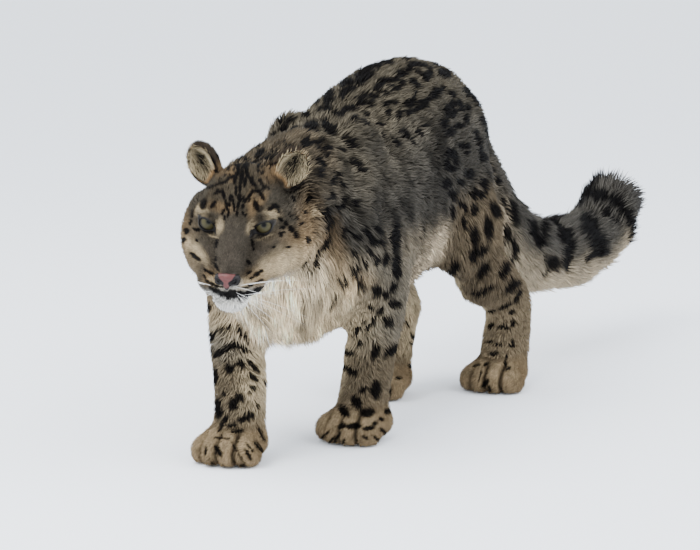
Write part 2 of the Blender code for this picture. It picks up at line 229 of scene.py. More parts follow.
def on_face_side(point):
    """Whether a point, in the head's frame, is on the front of the head."""
    return (point - Vector(FACE_MIDDLE)).length < FACE_REACH and point.y < FACE_BACK


PAWS = [n for n in flesh if "paw" in n]
TOES_SHARE = 0.6
PAW_MARGIN = 0.01
paw_boxes = {n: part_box(n) for n in PAWS}


def on_toes(point):
    """Whether a point is on the front part of a paw, where the toes are."""
    return any(
        low.x - PAW_MARGIN < point.x < high.x + PAW_MARGIN
        and low.y - PAW_MARGIN < point.y < low.y + TOES_SHARE * (high.y - low.y)
        and point.z < high.z
        for low, high in paw_boxes.values()
    )


body_solids = [welded(n, SOLID_GROWTH) for n in sorted(frame["nodes"]) if n not in EAR_NODES]
skin_mesh = remeshed(body_solids, SKIN_VOXEL, 8)
shape = bmesh.new()
shape.from_mesh(skin_mesh)
subdivided(shape, [f for f in shape.faces if on_face_side(to_head @ f.calc_center_median())], 2)
subdivided(shape, [f for f in shape.faces if on_toes(f.calc_center_median())], 1)
bmesh.ops.triangulate(shape, faces=[f for f in shape.faces if len(f.verts) > 4])
shape.to_mesh(skin_mesh)
shape.free()

# Each body part's fur in millimetres and degrees: its length, its depth over the skin, how far
# it stands off, the width of a tuft, and the distance between tufts.
FUR = {
    "head": (6, 2.6, 24, 1.5, 1.75),
    "neck": (28, 12, 24, 2.6, 3.0),
    "trunk": (25, 12, 22, 2.7, 3.15),
    "foreleg": (22, 9, 22, 2.6, 3.0),
    "foreshin": (14, 6, 24, 2.1, 2.5),
    "forepaw": (8, 3.6, 24, 1.6, 1.9),
    "hindleg": (25, 10, 22, 2.8, 3.1),
    "hindshin": (14, 6, 24, 2.1, 2.5),
    "hindpaw": (8, 3.6, 24, 1.6, 1.9),
    "tail_base": (34, 14, 25, 2.4, 2.8),
    "tail_middle": (42, 19, 27, 2.4, 2.8),
    "tail_end": (44, 21, 28, 2.4, 2.75),
    "tail_tip": (42, 20, 28, 2.4, 2.7),
    "ear": (6, 1.6, 22, 1.4, 1.9),
}
# Where the fur is longer: what each such place adds to the five sizes above.
LONGER_FUR = {
    "ruff": (16, 7, 4, 0.9, 0.8), "crown": (7, 2, 0, 0.5, 0.4), "chin": (9, 3, 0, 0, 0),
    "under": (14, 6, 0, 0, 0), "chest": (14, 6, 3, -0.7, -0.6), "low tail": (5, 2, 0, 0, 0),
}


def soft_step(low, high, values):
    t = np.clip((values - low) / (high - low), 0, 1)
    return t * t * (3 - 2 * t)


def unit(vectors):
    return vectors / np.maximum(np.linalg.norm(vectors, axis=-1, keepdims=True), 1e-9)


def scrambled(cell, seed):
    """An evenly spread number for each cell of a lattice, from 0 to 65535."""
    key = cell[:, 0] * 73856093 ^ cell[:, 1] * 19349663 ^ cell[:, 2] * 83492791 ^ seed * 9176
    key = (key ^ (key >> 13)) * 1274126177
    return (key ^ (key >> 16)) & 0xFFFF


def noise(points, size, seed):
    """Smooth noise from -1 to 1 that varies over about `size`."""
    cells = points / size + seed * 7.31
    base = np.floor(cells).astype(np.int64)
    t = cells - base
    t = t * t * (3 - 2 * t)
    total = np.zeros(len(points))
    for corner in np.ndindex(2, 2, 2):
        key = scrambled(base + np.array(corner), seed)
        total += (key / 32768.0 - 1) * np.prod(np.where(corner, t, 1 - t), axis=1)
    return total


# Which body part each place of the skin belongs to: that of the nearest solid.
solid_points, solid_faces, solid_owner = [], [], []
for index, node in enumerate(flesh):
    data = frame["nodes"][node].data
    start = len(solid_points)
    solid_points += [v.co.copy() for v in data.vertices]
    solid_faces += [[start + k for k in face.vertices] for face in data.polygons]
    solid_owner += [index] * len(data.polygons)
solid_tree = BVHTree.FromPolygons(solid_points, solid_faces)
solid_owner = np.array(solid_owner)

# The tail's middle line, found from its solids, for the lie of its fur.
TAIL_STEPS = 26
TAIL_OVERLAP = 0.006
tail_cloud = np.concatenate([coordinates(frame["nodes"][n].data) for n in flesh if n.startswith("tail")])
tail_edges = np.linspace(tail_cloud[:, 1].min(), tail_cloud[:, 1].max(), TAIL_STEPS + 1)
tail_line = []
for low, high in zip(tail_edges, tail_edges[1:]):
    slab = tail_cloud[(tail_cloud[:, 1] >= low - TAIL_OVERLAP) & (tail_cloud[:, 1] <= high + TAIL_OVERLAP)]
    tail_line.append((slab.min(axis=0) + slab.max(axis=0)) / 2)
tail_pairs = np.stack([np.arange(TAIL_STEPS - 1), np.arange(1, TAIL_STEPS)], 1)
tail_line = relaxed(np.array(tail_line), tail_pairs, 2)
tail_ahead = unit(np.gradient(tail_line, axis=0))


def along_tail(at):
    """Which step of the tail's middle line each point is nearest to."""
    return np.argmin(((at[:, None] - tail_line[None]) ** 2).sum(2), axis=1)


LIP_FRONT = (0.0, -0.112, -0.060)
EAR_LIE = (0.0, 0.2, 1.0)
LEG_LIE = {"paw": (0.0, -0.85, -0.45), "shin": (0.0, 0.10, -1.0), "leg": (0.0, 0.42, -0.9)}


def lie(points, owner):
    """The way the fur lies, before it is laid on the skin: back from the lips on the head,
    towards the tail on the back, and down on the chest and the legs."""
    flow = np.zeros_like(points)
    turn = np.array(HEAD)[:3, :3]
    for index in np.unique(owner):
        node = flesh[index]
        here = owner == index
        at = points[here]
        if node == "head":
            q = rows(at, to_head)
            along = unit(q - np.array(LIP_FRONT))
            along[:, 1] += 0.25
            along[:, 2] -= 0.5 * soft_step(-0.02, -0.09, q[:, 2]) + 0.25 * soft_step(0.02, 0.07, q[:, 1])
            flow[here] = along @ turn.T
        elif node == "neck":
            under = soft_step(0.46, 0.34, at[:, 2])
            flow[here] = np.stack([0 * under, 0.9 - 0.55 * under, -0.2 - 0.85 * under], 1)
        elif node == "trunk":
            under = soft_step(0.50, 0.28, at[:, 2])
            chest = soft_step(-0.38, -0.56, at[:, 1])
            back, down = 0.95 - 0.6 * chest, -0.12 - 0.45 * under - 0.7 * chest
            flow[here] = np.stack([0 * under, back, down], 1)
        elif node.startswith("tail"):
            flow[here] = tail_ahead[along_tail(at)]
        elif node.startswith("ear"):
            flow[here] = turn @ np.array(EAR_LIE)
        else:
            flow[here] = next(way for part, way in LEG_LIE.items() if part in node)
    return unit(flow)


def fur_fields(points, normals, owner):
    """Length, depth, lift, width and spacing of the fur at each place."""
    table = np.array([next(FUR[k] for k in FUR if node.startswith(k)) for node in flesh], float)[owner]
    local = rows(points, to_head)
    names = np.array(flesh)[owner]
    head = names == "head"
    front = ((names == "trunk") | (names == "neck")) * soft_step(-0.40, -0.55, points[:, 1])
    share = {
        "ruff": head * soft_step(0.015, 0.085, local[:, 1]) * soft_step(0.030, 0.0, local[:, 2]),
        "crown": head * soft_step(0.0, 0.08, local[:, 1]) * soft_step(0.0, 0.03, local[:, 2]),
        "chin": head * soft_step(-0.085, -0.115, local[:, 2]),
        "under": (names == "trunk") * soft_step(0.0, -0.7, normals[:, 2]),
        "chest": front * soft_step(0.42, 0.32, points[:, 2]),
        "low tail": np.char.startswith(names, "tail") * soft_step(0.2, -0.8, normals[:, 2]),
    }
    for place, more in LONGER_FUR.items():
        table += share[place][:, None] * np.array(more)
    return table * np.array((0.001, 0.001, math.radians(1), 0.001, 0.001))


# The head's finer shape, as a smooth blend of rounded forms: the middle, and the half width,
# length and depth of each. They stand for the skull, the bridge of the nose, the jaws and the
# chin, and then, in pairs, for the eye sockets, lips, brows, cheeks and jowls.
HEAD_FORMS = [
    (0, 0.062, 0.006, 0.068, 0.088, 0.074),
    (0, 0.125, -0.012, 0.086, 0.080, 0.082),
    (0, 0.060, 0.030, 0.050, 0.046, 0.040),
    (0, 0.020, 0.014, 0.040, 0.040, 0.036),
    (0, -0.012, -0.012, 0.030, 0.036, 0.033),
    (0, -0.030, -0.027, 0.026, 0.032, 0.031),
    (0, -0.048, -0.042, 0.0245, 0.030, 0.028),
    (0, -0.062, -0.053, 0.0225, 0.024, 0.0225),
    (0, 0.060, -0.062, 0.064, 0.050, 0.048),
    (0, 0.015, -0.074, 0.055, 0.046, 0.044),
    (0, -0.020, -0.082, 0.044, 0.040, 0.032),
    (0, -0.046, -0.100, 0.030, 0.028, 0.019),
    (0, -0.038, -0.110, 0.027, 0.026, 0.016),
]
PAIRED_FORMS = [
    (0.047, 0.014, 0.000, 0.021, 0.019, 0.020),
    (0.021, -0.060, -0.077, 0.024, 0.027, 0.0185),
    (0.034, -0.040, -0.075, 0.020, 0.030, 0.021),
    (0.036, 0.012, 0.018, 0.030, 0.028, 0.021),
    (0.038, -0.014, -0.058, 0.026, 0.036, 0.030),
    (0.052, 0.022, -0.046, 0.033, 0.042, 0.046),
    (0.063, 0.062, -0.038, 0.038, 0.048, 0.060),
    (0.064, 0.104, -0.036, 0.038, 0.050, 0.064),
]
FORM_BLEND = 0.0075
MUZZLE_ASIDE = 0.0040
LIP_Z = -0.0945
LIP_DROP = 0.30
CREASE = (0.0040, 0.0022)
CLEFT = (0.0026, 0.0016)

# Each eye's own frame, the lids' opening in it and the black rim round that. The rim is wider
# below, and runs out at the two corners: each corner's angle, spread and reach.
EYE_RADIUS = 0.0150
EYE_SET = 0.0430
EYE_OUTWARD = math.radians(9)
EYE_SLANT = math.radians(24)
EYE_GROUND = 0.025
OPENING = 0.0128
LID_UP = 0.0074
LID_DOWN = 0.0088
LID_COVER = 0.0046
LID_RIM = 0.0020
LID_RIM_BELOW = 0.0026
LID_CORNERS = ((212, 0.36, 0.0070), (28, 0.30, 0.0024))
EYE_FRAME = {
    side: Matrix.Translation((sign * EYE_SET, EYE_BACK, 0)) @ Matrix.Rotation(sign * EYE_OUTWARD, 4, "Z")
    for side, sign in SIDES.items()
}


def rim_reach(turn):
    """How far the opening and the black rim reach from the eye's middle, at an angle that is 0
    towards the temple and a quarter turn at the brow."""
    slanted = turn - EYE_SLANT
    rise = np.where(np.sin(slanted) > 0, LID_UP, LID_DOWN)
    opening = 1 / np.sqrt((np.cos(slanted) / OPENING) ** 2 + (np.sin(slanted) / rise) ** 2)
    rim = opening + LID_RIM + LID_RIM_BELOW * np.clip(-np.sin(turn + 0.25), 0, 1)
    for corner, spread, reach in LID_CORNERS:
        aside = np.angle(np.exp(1j * (turn - math.radians(corner))))
        rim = rim + reach * np.exp(-((aside / spread) ** 2))
    return opening, rim


def head_distance(q):
    """How far a point in the head's frame lies outside its shape, roughly."""
    total = np.full(len(q), 1.0)
    q = q - np.stack([MUZZLE_ASIDE * soft_step(-0.005, -0.08, q[:, 1]), 0 * q[:, 1], 0 * q[:, 1]], 1)
    forms = HEAD_FORMS + [(s * x, *rest) for x, *rest in PAIRED_FORMS for s in (1, -1)]
    for *middle, wide, long, deep in forms:
        radii = np.array((wide, long, deep))
        away = q - np.array(middle)
        near = np.linalg.norm(away / radii, axis=1)
        slope = np.maximum(np.linalg.norm(away / radii**2, axis=1), 1e-6)
        distance = near * (near - 1) / slope
        share = np.clip(0.5 + 0.5 * (distance - total) / FORM_BLEND, 0, 1)
        total = distance * (1 - share) + total * share - FORM_BLEND * share * (1 - share)
    # Round each eye the flesh closes on the ball, and within the lids' rim it lies behind it.
    for side, sign in SIDES.items():
        away = rows(q, EYE_FRAME[side].inverted())
        aside = np.hypot(away[:, 0], away[:, 2])
        rim = rim_reach(np.arctan2(away[:, 2], sign * away[:, 0]))[1]
        ground = EYE_RADIUS - 0.0006 + LID_COVER * soft_step(rim - 0.0016, rim + 0.0006, aside)
        hold = 0.94 * soft_step(EYE_GROUND, 0.0145, aside) * soft_step(0.012, 0.0, away[:, 1])
        total += (np.linalg.norm(away, axis=1) - ground - total) * hold
    # The mouth is a shut crease that runs back and a little down, and the lip has a cleft.
    crease = np.abs(q[:, 2] - LIP_Z + LIP_DROP * np.abs(q[:, 0]) - 0.10 * (q[:, 1] + 0.06))
    front = soft_step(-0.012, -0.035, q[:, 1])
    total += CREASE[0] * np.exp(-((crease / CREASE[1]) ** 2)) * front
    cleft = np.exp(-((q[:, 0] / CLEFT[1]) ** 2)) * soft_step(-0.070, -0.078, q[:, 2])
    total += CLEFT[0] * cleft * soft_step(LIP_Z - 0.002, LIP_Z + 0.004, q[:, 2]) * front
    return total


def on_head(q, depth, rounds):
    """Points moved on to the head's shape, drawn in by the fur's depth."""
    reach = 0.0008
    most = 0.005
    for _ in range(rounds):
        distance = head_distance(q)
        slope = np.stack([(head_distance(q + reach * axis) - distance) / reach for axis in np.eye(3)], 1)
        size = np.maximum((slope**2).sum(1), 0.2)
        q = q - slope * np.clip((distance + depth) / size, -most, most)[:, None]
    return q


points = coordinates(skin_mesh)
normals = normals_of(skin_mesh)
pairs = numbers(skin_mesh.edges, "vertices", 2, int)
owner = solid_owner[[solid_tree.find_nearest(Vector(point))[2] for point in points]]
fields = relaxed(fur_fields(points, normals, owner), pairs, 14)
outside = unit(relaxed(normals, pairs, 4))
local = rows(points - outside * (fields[:, 1:2] + SOLID_GROWTH), to_head)
face_far = np.linalg.norm(local - np.array(FACE_MIDDLE), axis=1)
face = soft_step(0.075, 0.040, local[:, 1]) * soft_step(0.150, 0.120, face_far)
on_face = face > 0


def moulded(local, rounds):
    """The skin, with the face drawn on to the head's shape."""
    found = on_head(local[on_face], fields[on_face, 1], rounds)
    local[on_face] += (found - local[on_face]) * face[on_face, None]
    return local


local = relaxed(moulded(local, 6), pairs, 3, hold=1 - 0.7 * (face > 0.9))
points = rows(moulded(local, 2), HEAD)
points = np.where(on_face[:, None], points, relaxed(points, pairs, 2))

# The toes: three furrows part the four toes of each paw and fan out towards the front. The
# pads rest on the floor, and the claws are drawn in.
FURROWS = (-0.50, 0.0, 0.50)
FURROW_FAN = 0.45
FURROW_DEPTH = 0.0062
FURROW_WIDTH = 0.0042
TOE_RISE = 0.0022
LOWEST_SKIN = 0.0015
furrow = np.zeros(len(points))
toe_top = np.zeros(len(points))
for node in PAWS:
    low, high = paw_boxes[node]
    back = (points[:, 1] - low.y) / (high.y - low.y)
    half = (high.x - low.x) / 2
    across = (points[:, 0] - (low.x + half)) / half
    front = (owner == flesh.index(node)) * soft_step(0.52, 0.30, back)
    for place in FURROWS:
        away = (across - place * (1 - FURROW_FAN * back)) * half
        furrow = np.maximum(furrow, np.exp(-((away / FURROW_WIDTH) ** 2)) * front)
    toe_top = np.maximum(toe_top, front)
out = unit(relaxed(normals_of(skin_mesh), pairs, 2))
points = points + out * (toe_top * TOE_RISE - furrow * (FURROW_DEPTH + TOE_RISE))[:, None]
points[:, 2] = np.maximum(points[:, 2], LOWEST_SKIN)
skin_mesh.vertices.foreach_set("co", points.ravel())
skin_mesh.update()

# The ears: short, rounded cups of gristle under thin skin, hollow to the front, set on the
# crown and sunk a little into it. They are one with the skin.
EAR_VOXEL = 0.0024
EAR_THINNED = -0.0012
EAR_AT = (0.069, 0.088, 0.070)
EAR_TURN = (24, 20, 6)
HOLLOW = (0.0, -0.015, 0.002)
HOLLOW_RADII = (0.0245, 0.019, 0.029)
EAR_ROOT = 0.009
EAR_ROOT_REACH = 0.020
EAR_UP = (0.0, 0.15, 1.0)

EAR = {
    side: HEAD
    @ Matrix.Translation((sign * EAR_AT[0], EAR_AT[1], EAR_AT[2]))
    @ Matrix.Rotation(math.radians(sign * EAR_TURN[0]), 4, "Z")
    @ Matrix.Rotation(math.radians(sign * EAR_TURN[1]), 4, "Y")
    @ Matrix.Rotation(math.radians(EAR_TURN[2]), 4, "X")
    for side, sign in SIDES.items()
}
body_tree = BVHTree.FromPolygons([Vector(p) for p in points], [list(f.vertices) for f in skin_mesh.polygons])
whole = bmesh.new()
whole.from_mesh(skin_mesh)
ear_flow, ear_inside, ear_owner = [], [], []
for side in SIDES:
    ear_mesh = remeshed([welded(f"ear_{side}", EAR_THINNED)], EAR_VOXEL, 3)
    at = coordinates(ear_mesh)
    found = [body_tree.find_nearest(Vector(p)) for p in at]
    low = 1 - soft_step(0.004, EAR_ROOT_REACH, np.array([distance for *_, distance in found]))
    at -= np.array([normal for _, normal, *_ in found]) * (low * EAR_ROOT)[:, None]
    ear_mesh.vertices.foreach_set("co", at.ravel())
    ear_mesh.update()
    q = rows(at, EAR[side].inverted())
    turn = np.array(EAR[side])[:3, :3]
    from_hollow = q - np.array(HOLLOW)
    inner = soft_step(1.22, 1.06, np.linalg.norm(from_hollow / np.array(HOLLOW_RADII), axis=1))
    inner = inner * soft_step(0.1, -0.2, (normals_of(ear_mesh) @ turn * from_hollow).sum(1) / 0.02)
    ear_flow.append(np.tile(EAR_UP, (len(q), 1)) @ turn.T)
    ear_inside.append(inner)
    ear_owner.append(np.full(len(q), flesh.index(f"ear_{side}")))
    whole.from_mesh(ear_mesh)
whole.to_mesh(skin_mesh)
whole.free()
skin_mesh.update()

# What the coat is like at every place of the skin: whose it is, how it lies, and its sizes.
body_count = len(owner)
flow = unit(relaxed(lie(points, owner), pairs, 10))
flow = np.concatenate([flow, *ear_flow])
ear_inner = np.concatenate([np.zeros(body_count), *ear_inside])
owner = np.concatenate([owner, *ear_owner])
points = coordinates(skin_mesh)
normals = normals_of(skin_mesh)
pairs = numbers(skin_mesh.edges, "vertices", 2, int)
ear_fields = fur_fields(points[body_count:], normals[body_count:], owner[body_count:])
fields = np.concatenate([fields, ear_fields])
fields[:, 0] += 0.006 * ear_inner
fields[:, 2] += 0.20 * ear_inner
fields[:, 3] -= 0.0004 * ear_inner
local = rows(points, to_head)
skin_mesh.calc_loop_triangles()
triangles = numbers(skin_mesh.loop_triangles, "vertices", 3, int)
skin_tree = BVHTree.FromPolygons([Vector(p) for p in points], triangles.tolist())

# The ground colours of the coat, in screen values: smoky grey-tan above, darker on the flanks
# and cream below, with warm buff on the cheeks and paws. They run into each other. The darkest
# tones for the body's creases, the deep of each ear's hollow and the gaps between the toes are
# painted shade.
TONES = {
    "back": (77, 71, 60), "flank": (57, 54, 49), "belly": (160, 145, 122), "chest": (252, 231, 198),
    "nape": (72, 64, 52), "forehead": (66, 59, 48), "face": (66, 60, 51), "cheek": (122, 107, 85),
    "chin": (236, 234, 230), "upper leg": (113, 105, 91), "thigh": (91, 80, 64), "leg": (99, 88, 71),
    "inner leg": (188, 170, 138), "hind leg": (115, 102, 82), "paw": (150, 130, 101),
    "toe gap shade": (40, 32, 24), "tail": (69, 66, 61), "tail below": (160, 146, 123),
    "tail end": (60, 58, 57), "ear": (50, 43, 36), "ear rim": (176, 140, 98),
    "ear inside": (186, 170, 138), "ear hollow shade": (26, 24, 22), "painted fold shade": (24, 22, 20),
    "grey": (68, 63, 55), "bridge": (64, 58, 51), "buff": (132, 108, 78), "cream": (190, 170, 136),
    "white": (204, 200, 192), "black": (8, 7, 8),
}
LEG_TONES = {
    "foreleg": "upper leg", "hindleg": "thigh", "foreshin": "leg", "hindshin": "hind leg",
    "forepaw": "paw", "hindpaw": "paw", "tail": "tail",
}


def tone(name):
    """A named colour, from its 0 to 255 screen values to light."""
    levels = np.array(TONES[name]) / 255.0
    return np.where(levels <= 0.04045, levels / 12.92, ((levels + 0.055) / 1.055) ** 2.4)


def mixed(colours, name, share):
    return colours + (tone(name) - colours) * share[:, None]


def layered(colours, *layers):
    """Colours, with named tones laid over them one after another."""
    for name, share in layers:
        colours = mixed(colours, name, share)
    return colours


names = np.array(flesh)[owner]
upward, height = normals[:, 2], points[:, 2]
trunk, neck, head = names == "trunk", names == "neck", names == "head"
is_tail, is_ear = np.char.startswith(names, "tail"), np.char.startswith(names, "ear")
is_leg = np.char.startswith(names, "fore") | np.char.startswith(names, "hind")
MIDDLE_X = float(np.mean(points[trunk, 0]))
chest = (trunk | neck) * soft_step(-0.44, -0.56, points[:, 1])
chest_middle = float(np.median(points[(chest > 0.5) & (height < 0.42), 0]))
chest = chest * soft_step(0.105, 0.070, np.abs(points[:, 0] - chest_middle))
sides_in = -np.sign(points[:, 0] - MIDDLE_X) * normals[:, 0]
inner_leg = is_leg * soft_step(0.25, 0.85, sides_in) * soft_step(0.06, 0.12, height)
wide_face, low_face = soft_step(0.035, 0.062, np.abs(local[:, 0])), soft_step(0.0, -0.03, local[:, 2])
ground = layered(
    np.tile(tone("flank"), (len(points), 1)),
    ("back", soft_step(0.1, 0.75, upward)),
    ("belly", soft_step(-0.15, -0.65, upward)),
    ("belly", soft_step(0.36, 0.29, height) * trunk),
    ("nape", neck * soft_step(-0.2, 0.5, upward)),
    ("chest", chest * soft_step(0.43, 0.36, height)),
    *[(name, np.char.startswith(names, part) * 1.0) for part, name in LEG_TONES.items()],
    ("tail below", is_tail * soft_step(0.1, -0.7, upward)),
    ("face", head * 1.0),
    ("forehead", head * soft_step(0.0, 0.03, local[:, 2])),
    ("nape", head * soft_step(0.05, 0.11, local[:, 1])),
    ("cheek", head * wide_face * low_face),
    ("chin", head * soft_step(-0.075, -0.10, local[:, 2]) * soft_step(0.09, 0.03, local[:, 1])),
    ("inner leg", 0.8 * inner_leg),
    ("tail end", soft_step(0.70, 0.745, points[:, 1]) * is_tail),
)
no_toes = np.zeros(len(points) - body_count)
furrow, toe_top = np.concatenate([furrow, no_toes]), np.concatenate([toe_top, no_toes])
ground = layered(
    relaxed(ground, pairs, 16),
    # The tops of the toes that face up are painted lighter: a painted highlight.
    ("inner leg", 0.25 * toe_top * (1 - furrow) * soft_step(0.2, 0.8, upward)),
    # The furrows between the toes are painted dark: painted shade.
    ("toe gap shade", 0.85 * soft_step(0.25, 0.9, furrow)),
    ("ear", is_ear * 1.0),
    ("ear rim", is_ear * soft_step(0.02, 0.4, ear_inner)),
    # The deepest part of each ear's hollow is painted nearly black: painted shade.
    ("ear hollow shade", soft_step(0.75, 1.0, ear_inner)),
)

# The markings the picture shows, each by its place there, half its length and half its width in
# millimetres, and its slant in degrees. The soft patches of colour on the face lie under them.
FACE_MARKS = [
    (232, 156, 6, 2.3, -20), (240, 158, 7.5, 3, 0), (247, 160, 6, 2.3, 0), (236, 164, 7.5, 3, -10),
    (245, 166, 6, 3, 20), (253, 163, 7.5, 2, 10), (262, 160, 7.5, 1.8, 15), (270, 158, 7.5, 2, 10),
    (258, 167, 4.5, 1.8, 60), (266, 165, 7.5, 1.8, 15), (275, 163, 7.5, 1.8, 20), (212, 159, 16.5, 2, -58),
    (222, 160, 12, 1.8, -55), (216, 171, 4.5, 2.7, -30), (227, 166, 6, 2, -50), (238, 170, 7.5, 2.4, 90),
    (242, 175, 9, 2.7, 85), (235, 178, 7.5, 2.3, 75), (247, 172, 9, 2.4, 100), (245, 182, 7.5, 2.3, 80),
    (240, 188, 9, 2.3, 90), (236, 190, 9, 2.1, 90), (212, 186, 9, 1.8, 25), (222, 182, 9, 2.1, 20),
    (230, 177, 9, 2.1, 30), (217, 192, 7.5, 1.8, 25), (223, 193, 7.5, 2.1, -75), (226, 205, 9, 2, 100),
    (229, 204, 3.5, 2, 100), (233, 200, 3, 1.8, 90), (234, 206, 7.5, 1.7, 95), (228, 213, 6, 1.8, 80),
    (223, 211, 5.5, 1.8, 60), (224, 217, 4, 1.7, 90), (238, 205, 7.5, 1.8, 85), (243, 206, 4.5, 2, 80),
    (243, 213, 3.5, 1.8, 90), (246, 215, 2.5, 1.5, 60), (237, 213, 4.5, 1.7, 90), (240, 199, 9, 2.1, 80),
    (232, 196, 3, 1.8, -40), (246, 200, 4.5, 1.8, 60), (250, 195, 6, 2.1, 50), (256, 190.5, 7.5, 2.3, 0),
    (262, 195, 7.5, 2.3, -55), (253, 182, 10, 2.7, -52), (262, 183, 6, 2, -50), (268, 187, 5.5, 1.8, -40),
    (257, 206, 9, 3.5, -72), (203, 204, 8.5, 4, 65), (213, 204, 7.5, 2.6, 55), (271, 208, 5, 2.7, 15),
    (276, 206, 6, 3.6, -20), (279, 211, 4, 2, -60), (281, 219, 4.5, 2.3, -30), (286.5, 223, 4.5, 2.7, -70),
    (283, 227, 4.5, 2.3, 10), (291, 214, 4.5, 1.5, -40), (297, 217, 5.5, 1.5, -50),
    (302, 224, 3, 1.8, -50), (292, 229, 6, 4, -45), (297, 235, 6, 3.6, -60), (306, 240, 6, 4.3, -10),
    (281, 234, 4.5, 2.7, -60), (284, 232, 4, 1.2, 0), (302, 264, 7.5, 4.3, 18), (286, 276, 7.5, 2.7, 10),
    (288, 283, 4.5, 1.5, -60), (295, 188.5, 7.5, 3, 12), (302, 184, 7.5, 3.3, 0), (314, 190, 13.5, 2, 95),
    (310, 199, 7.5, 4, 50), (326, 241, 9, 4.3, 65), (324, 250, 7.5, 4.6, 45), (317, 258, 7.5, 3, 65),
    (316, 267, 7, 5.8, 70), (310, 272, 7.5, 2.7, 0), (186, 231, 5, 4, 60), (183, 240, 4.5, 3, 45),
    (194.5, 256.5, 10, 2.6, -35), (196, 229, 6, 2, -15), (253, 244, 8.5, 1.8, -82),
    (215.5, 244, 7.5, 1.8, 78), (215, 259, 4, 1.5, 80), (248.5, 262, 4, 1.8, -60),
    (206, 270, 4.5, 1.8, -25), (211, 272.5, 5.5, 2.3, -30), (216, 267, 7.5, 1.8, -65),
    (207, 281, 4.5, 1.8, -40), (212, 283.5, 4.5, 2.3, -30), (217, 286, 4.5, 2, -15), (222, 287, 4, 1.2, 0),
    (204, 276, 4, 1.5, -60), (252, 277, 4.5, 1.8, 20), (257, 273.5, 5.5, 2.7, 15), (262, 271, 4, 2.1, 10),
    (258, 282, 4.5, 1.8, 15), (262, 280, 3.5, 1.7, 20), (251, 285, 4.5, 2.3, 10), (245, 287.5, 6, 1.4, 5),
    (238, 287.5, 4.5, 1.1, 0), (249, 272, 4.5, 1.8, 40), (212, 289, 6.5, 2.6, -30), (217, 292, 9, 3.6, -20),
    (224, 294, 9, 3.8, 5), (232, 293, 8, 3.8, 0), (240, 294, 10, 4, -10), (250, 294, 10, 4, 5),
    (257, 291.5, 8.5, 4.2, 35), (262, 288.5, 4.5, 2, 30), (226, 298, 4, 1.2, -70), (240, 300, 5, 1.2, -60),
    (249, 298, 3.5, 1.2, 60), (255, 296, 6, 3.6, 40), (232, 297, 15, 3, 0), (244, 297, 7.5, 2.1, 0),
    (293, 199, 6, 1.5, -45), (304, 212, 4.5, 1.5, -40), (190, 222, 4.5, 1.8, 70), (192, 213, 6, 1.8, 75),
    (196, 240, 3, 1.5, -30), (289, 247, 4.5, 1.5, 10), (274, 247, 3, 1.5, 20),
]
NECK_MARKS = [
    (267, 126, 11, 2.9, 52), (282, 119, 6.5, 3.5, 0), (291, 119.5, 6.5, 4.8, 10),
    (285, 127.5, 6.5, 3.2, 40), (295, 130, 6.5, 2.9, 25), (291, 134, 7.5, 3, 0),
    (311.5, 128.5, 11, 9, -70), (327, 125, 10.5, 6.1, -50), (332, 130, 10.5, 7.4, -20),
    (306, 114, 7.5, 4.8, 75), (329, 98, 13, 6.7, 75), (325, 109, 10.5, 3.8, 8), (338, 114, 8, 3.8, -30),
    (316, 102, 6.5, 3, 0), (317, 94, 6, 2.9, 50), (309, 142, 7.5, 4.5, -10), (304, 146, 6.5, 4.5, 30),
    (317, 145.5, 6.5, 3.2, -60), (321, 140, 4, 3.7, 0), (351, 142, 11, 5.8, -58),
    (288, 146, 9.5, 2.2, -45), (262, 139, 7, 3.2, 5), (257, 144.5, 7, 3.2, 25), (241, 154, 7, 2.9, 35),
    (260, 153, 8, 3.2, 30), (276, 153, 6, 2.6, -50), (320, 163, 9.5, 3.5, -60), (327, 149, 5, 3.5, 0),
    (328, 155.5, 4, 3.5, 0), (319, 174, 7, 5.1, 60), (341, 150, 6.5, 2.1, -30), (357, 163, 9.5, 2.9, -40),
    (362, 169, 8, 2.2, -40), (274, 133, 6.5, 2.2, 40), (252, 148, 6.5, 2.1, 40), (332, 182, 6.5, 3.2, 70),
    (337, 176, 6.5, 2.9, 50), (343, 185, 6.5, 2.6, -60), (330, 196, 6.5, 3.2, 40),
    (346, 200, 6.5, 3.5, 20), (341, 208, 8, 4.2, 60), (357, 203, 6.5, 3.2, 60), (326, 212, 8, 4.8, 80),
    (328, 224, 9.5, 4.2, 70),
]
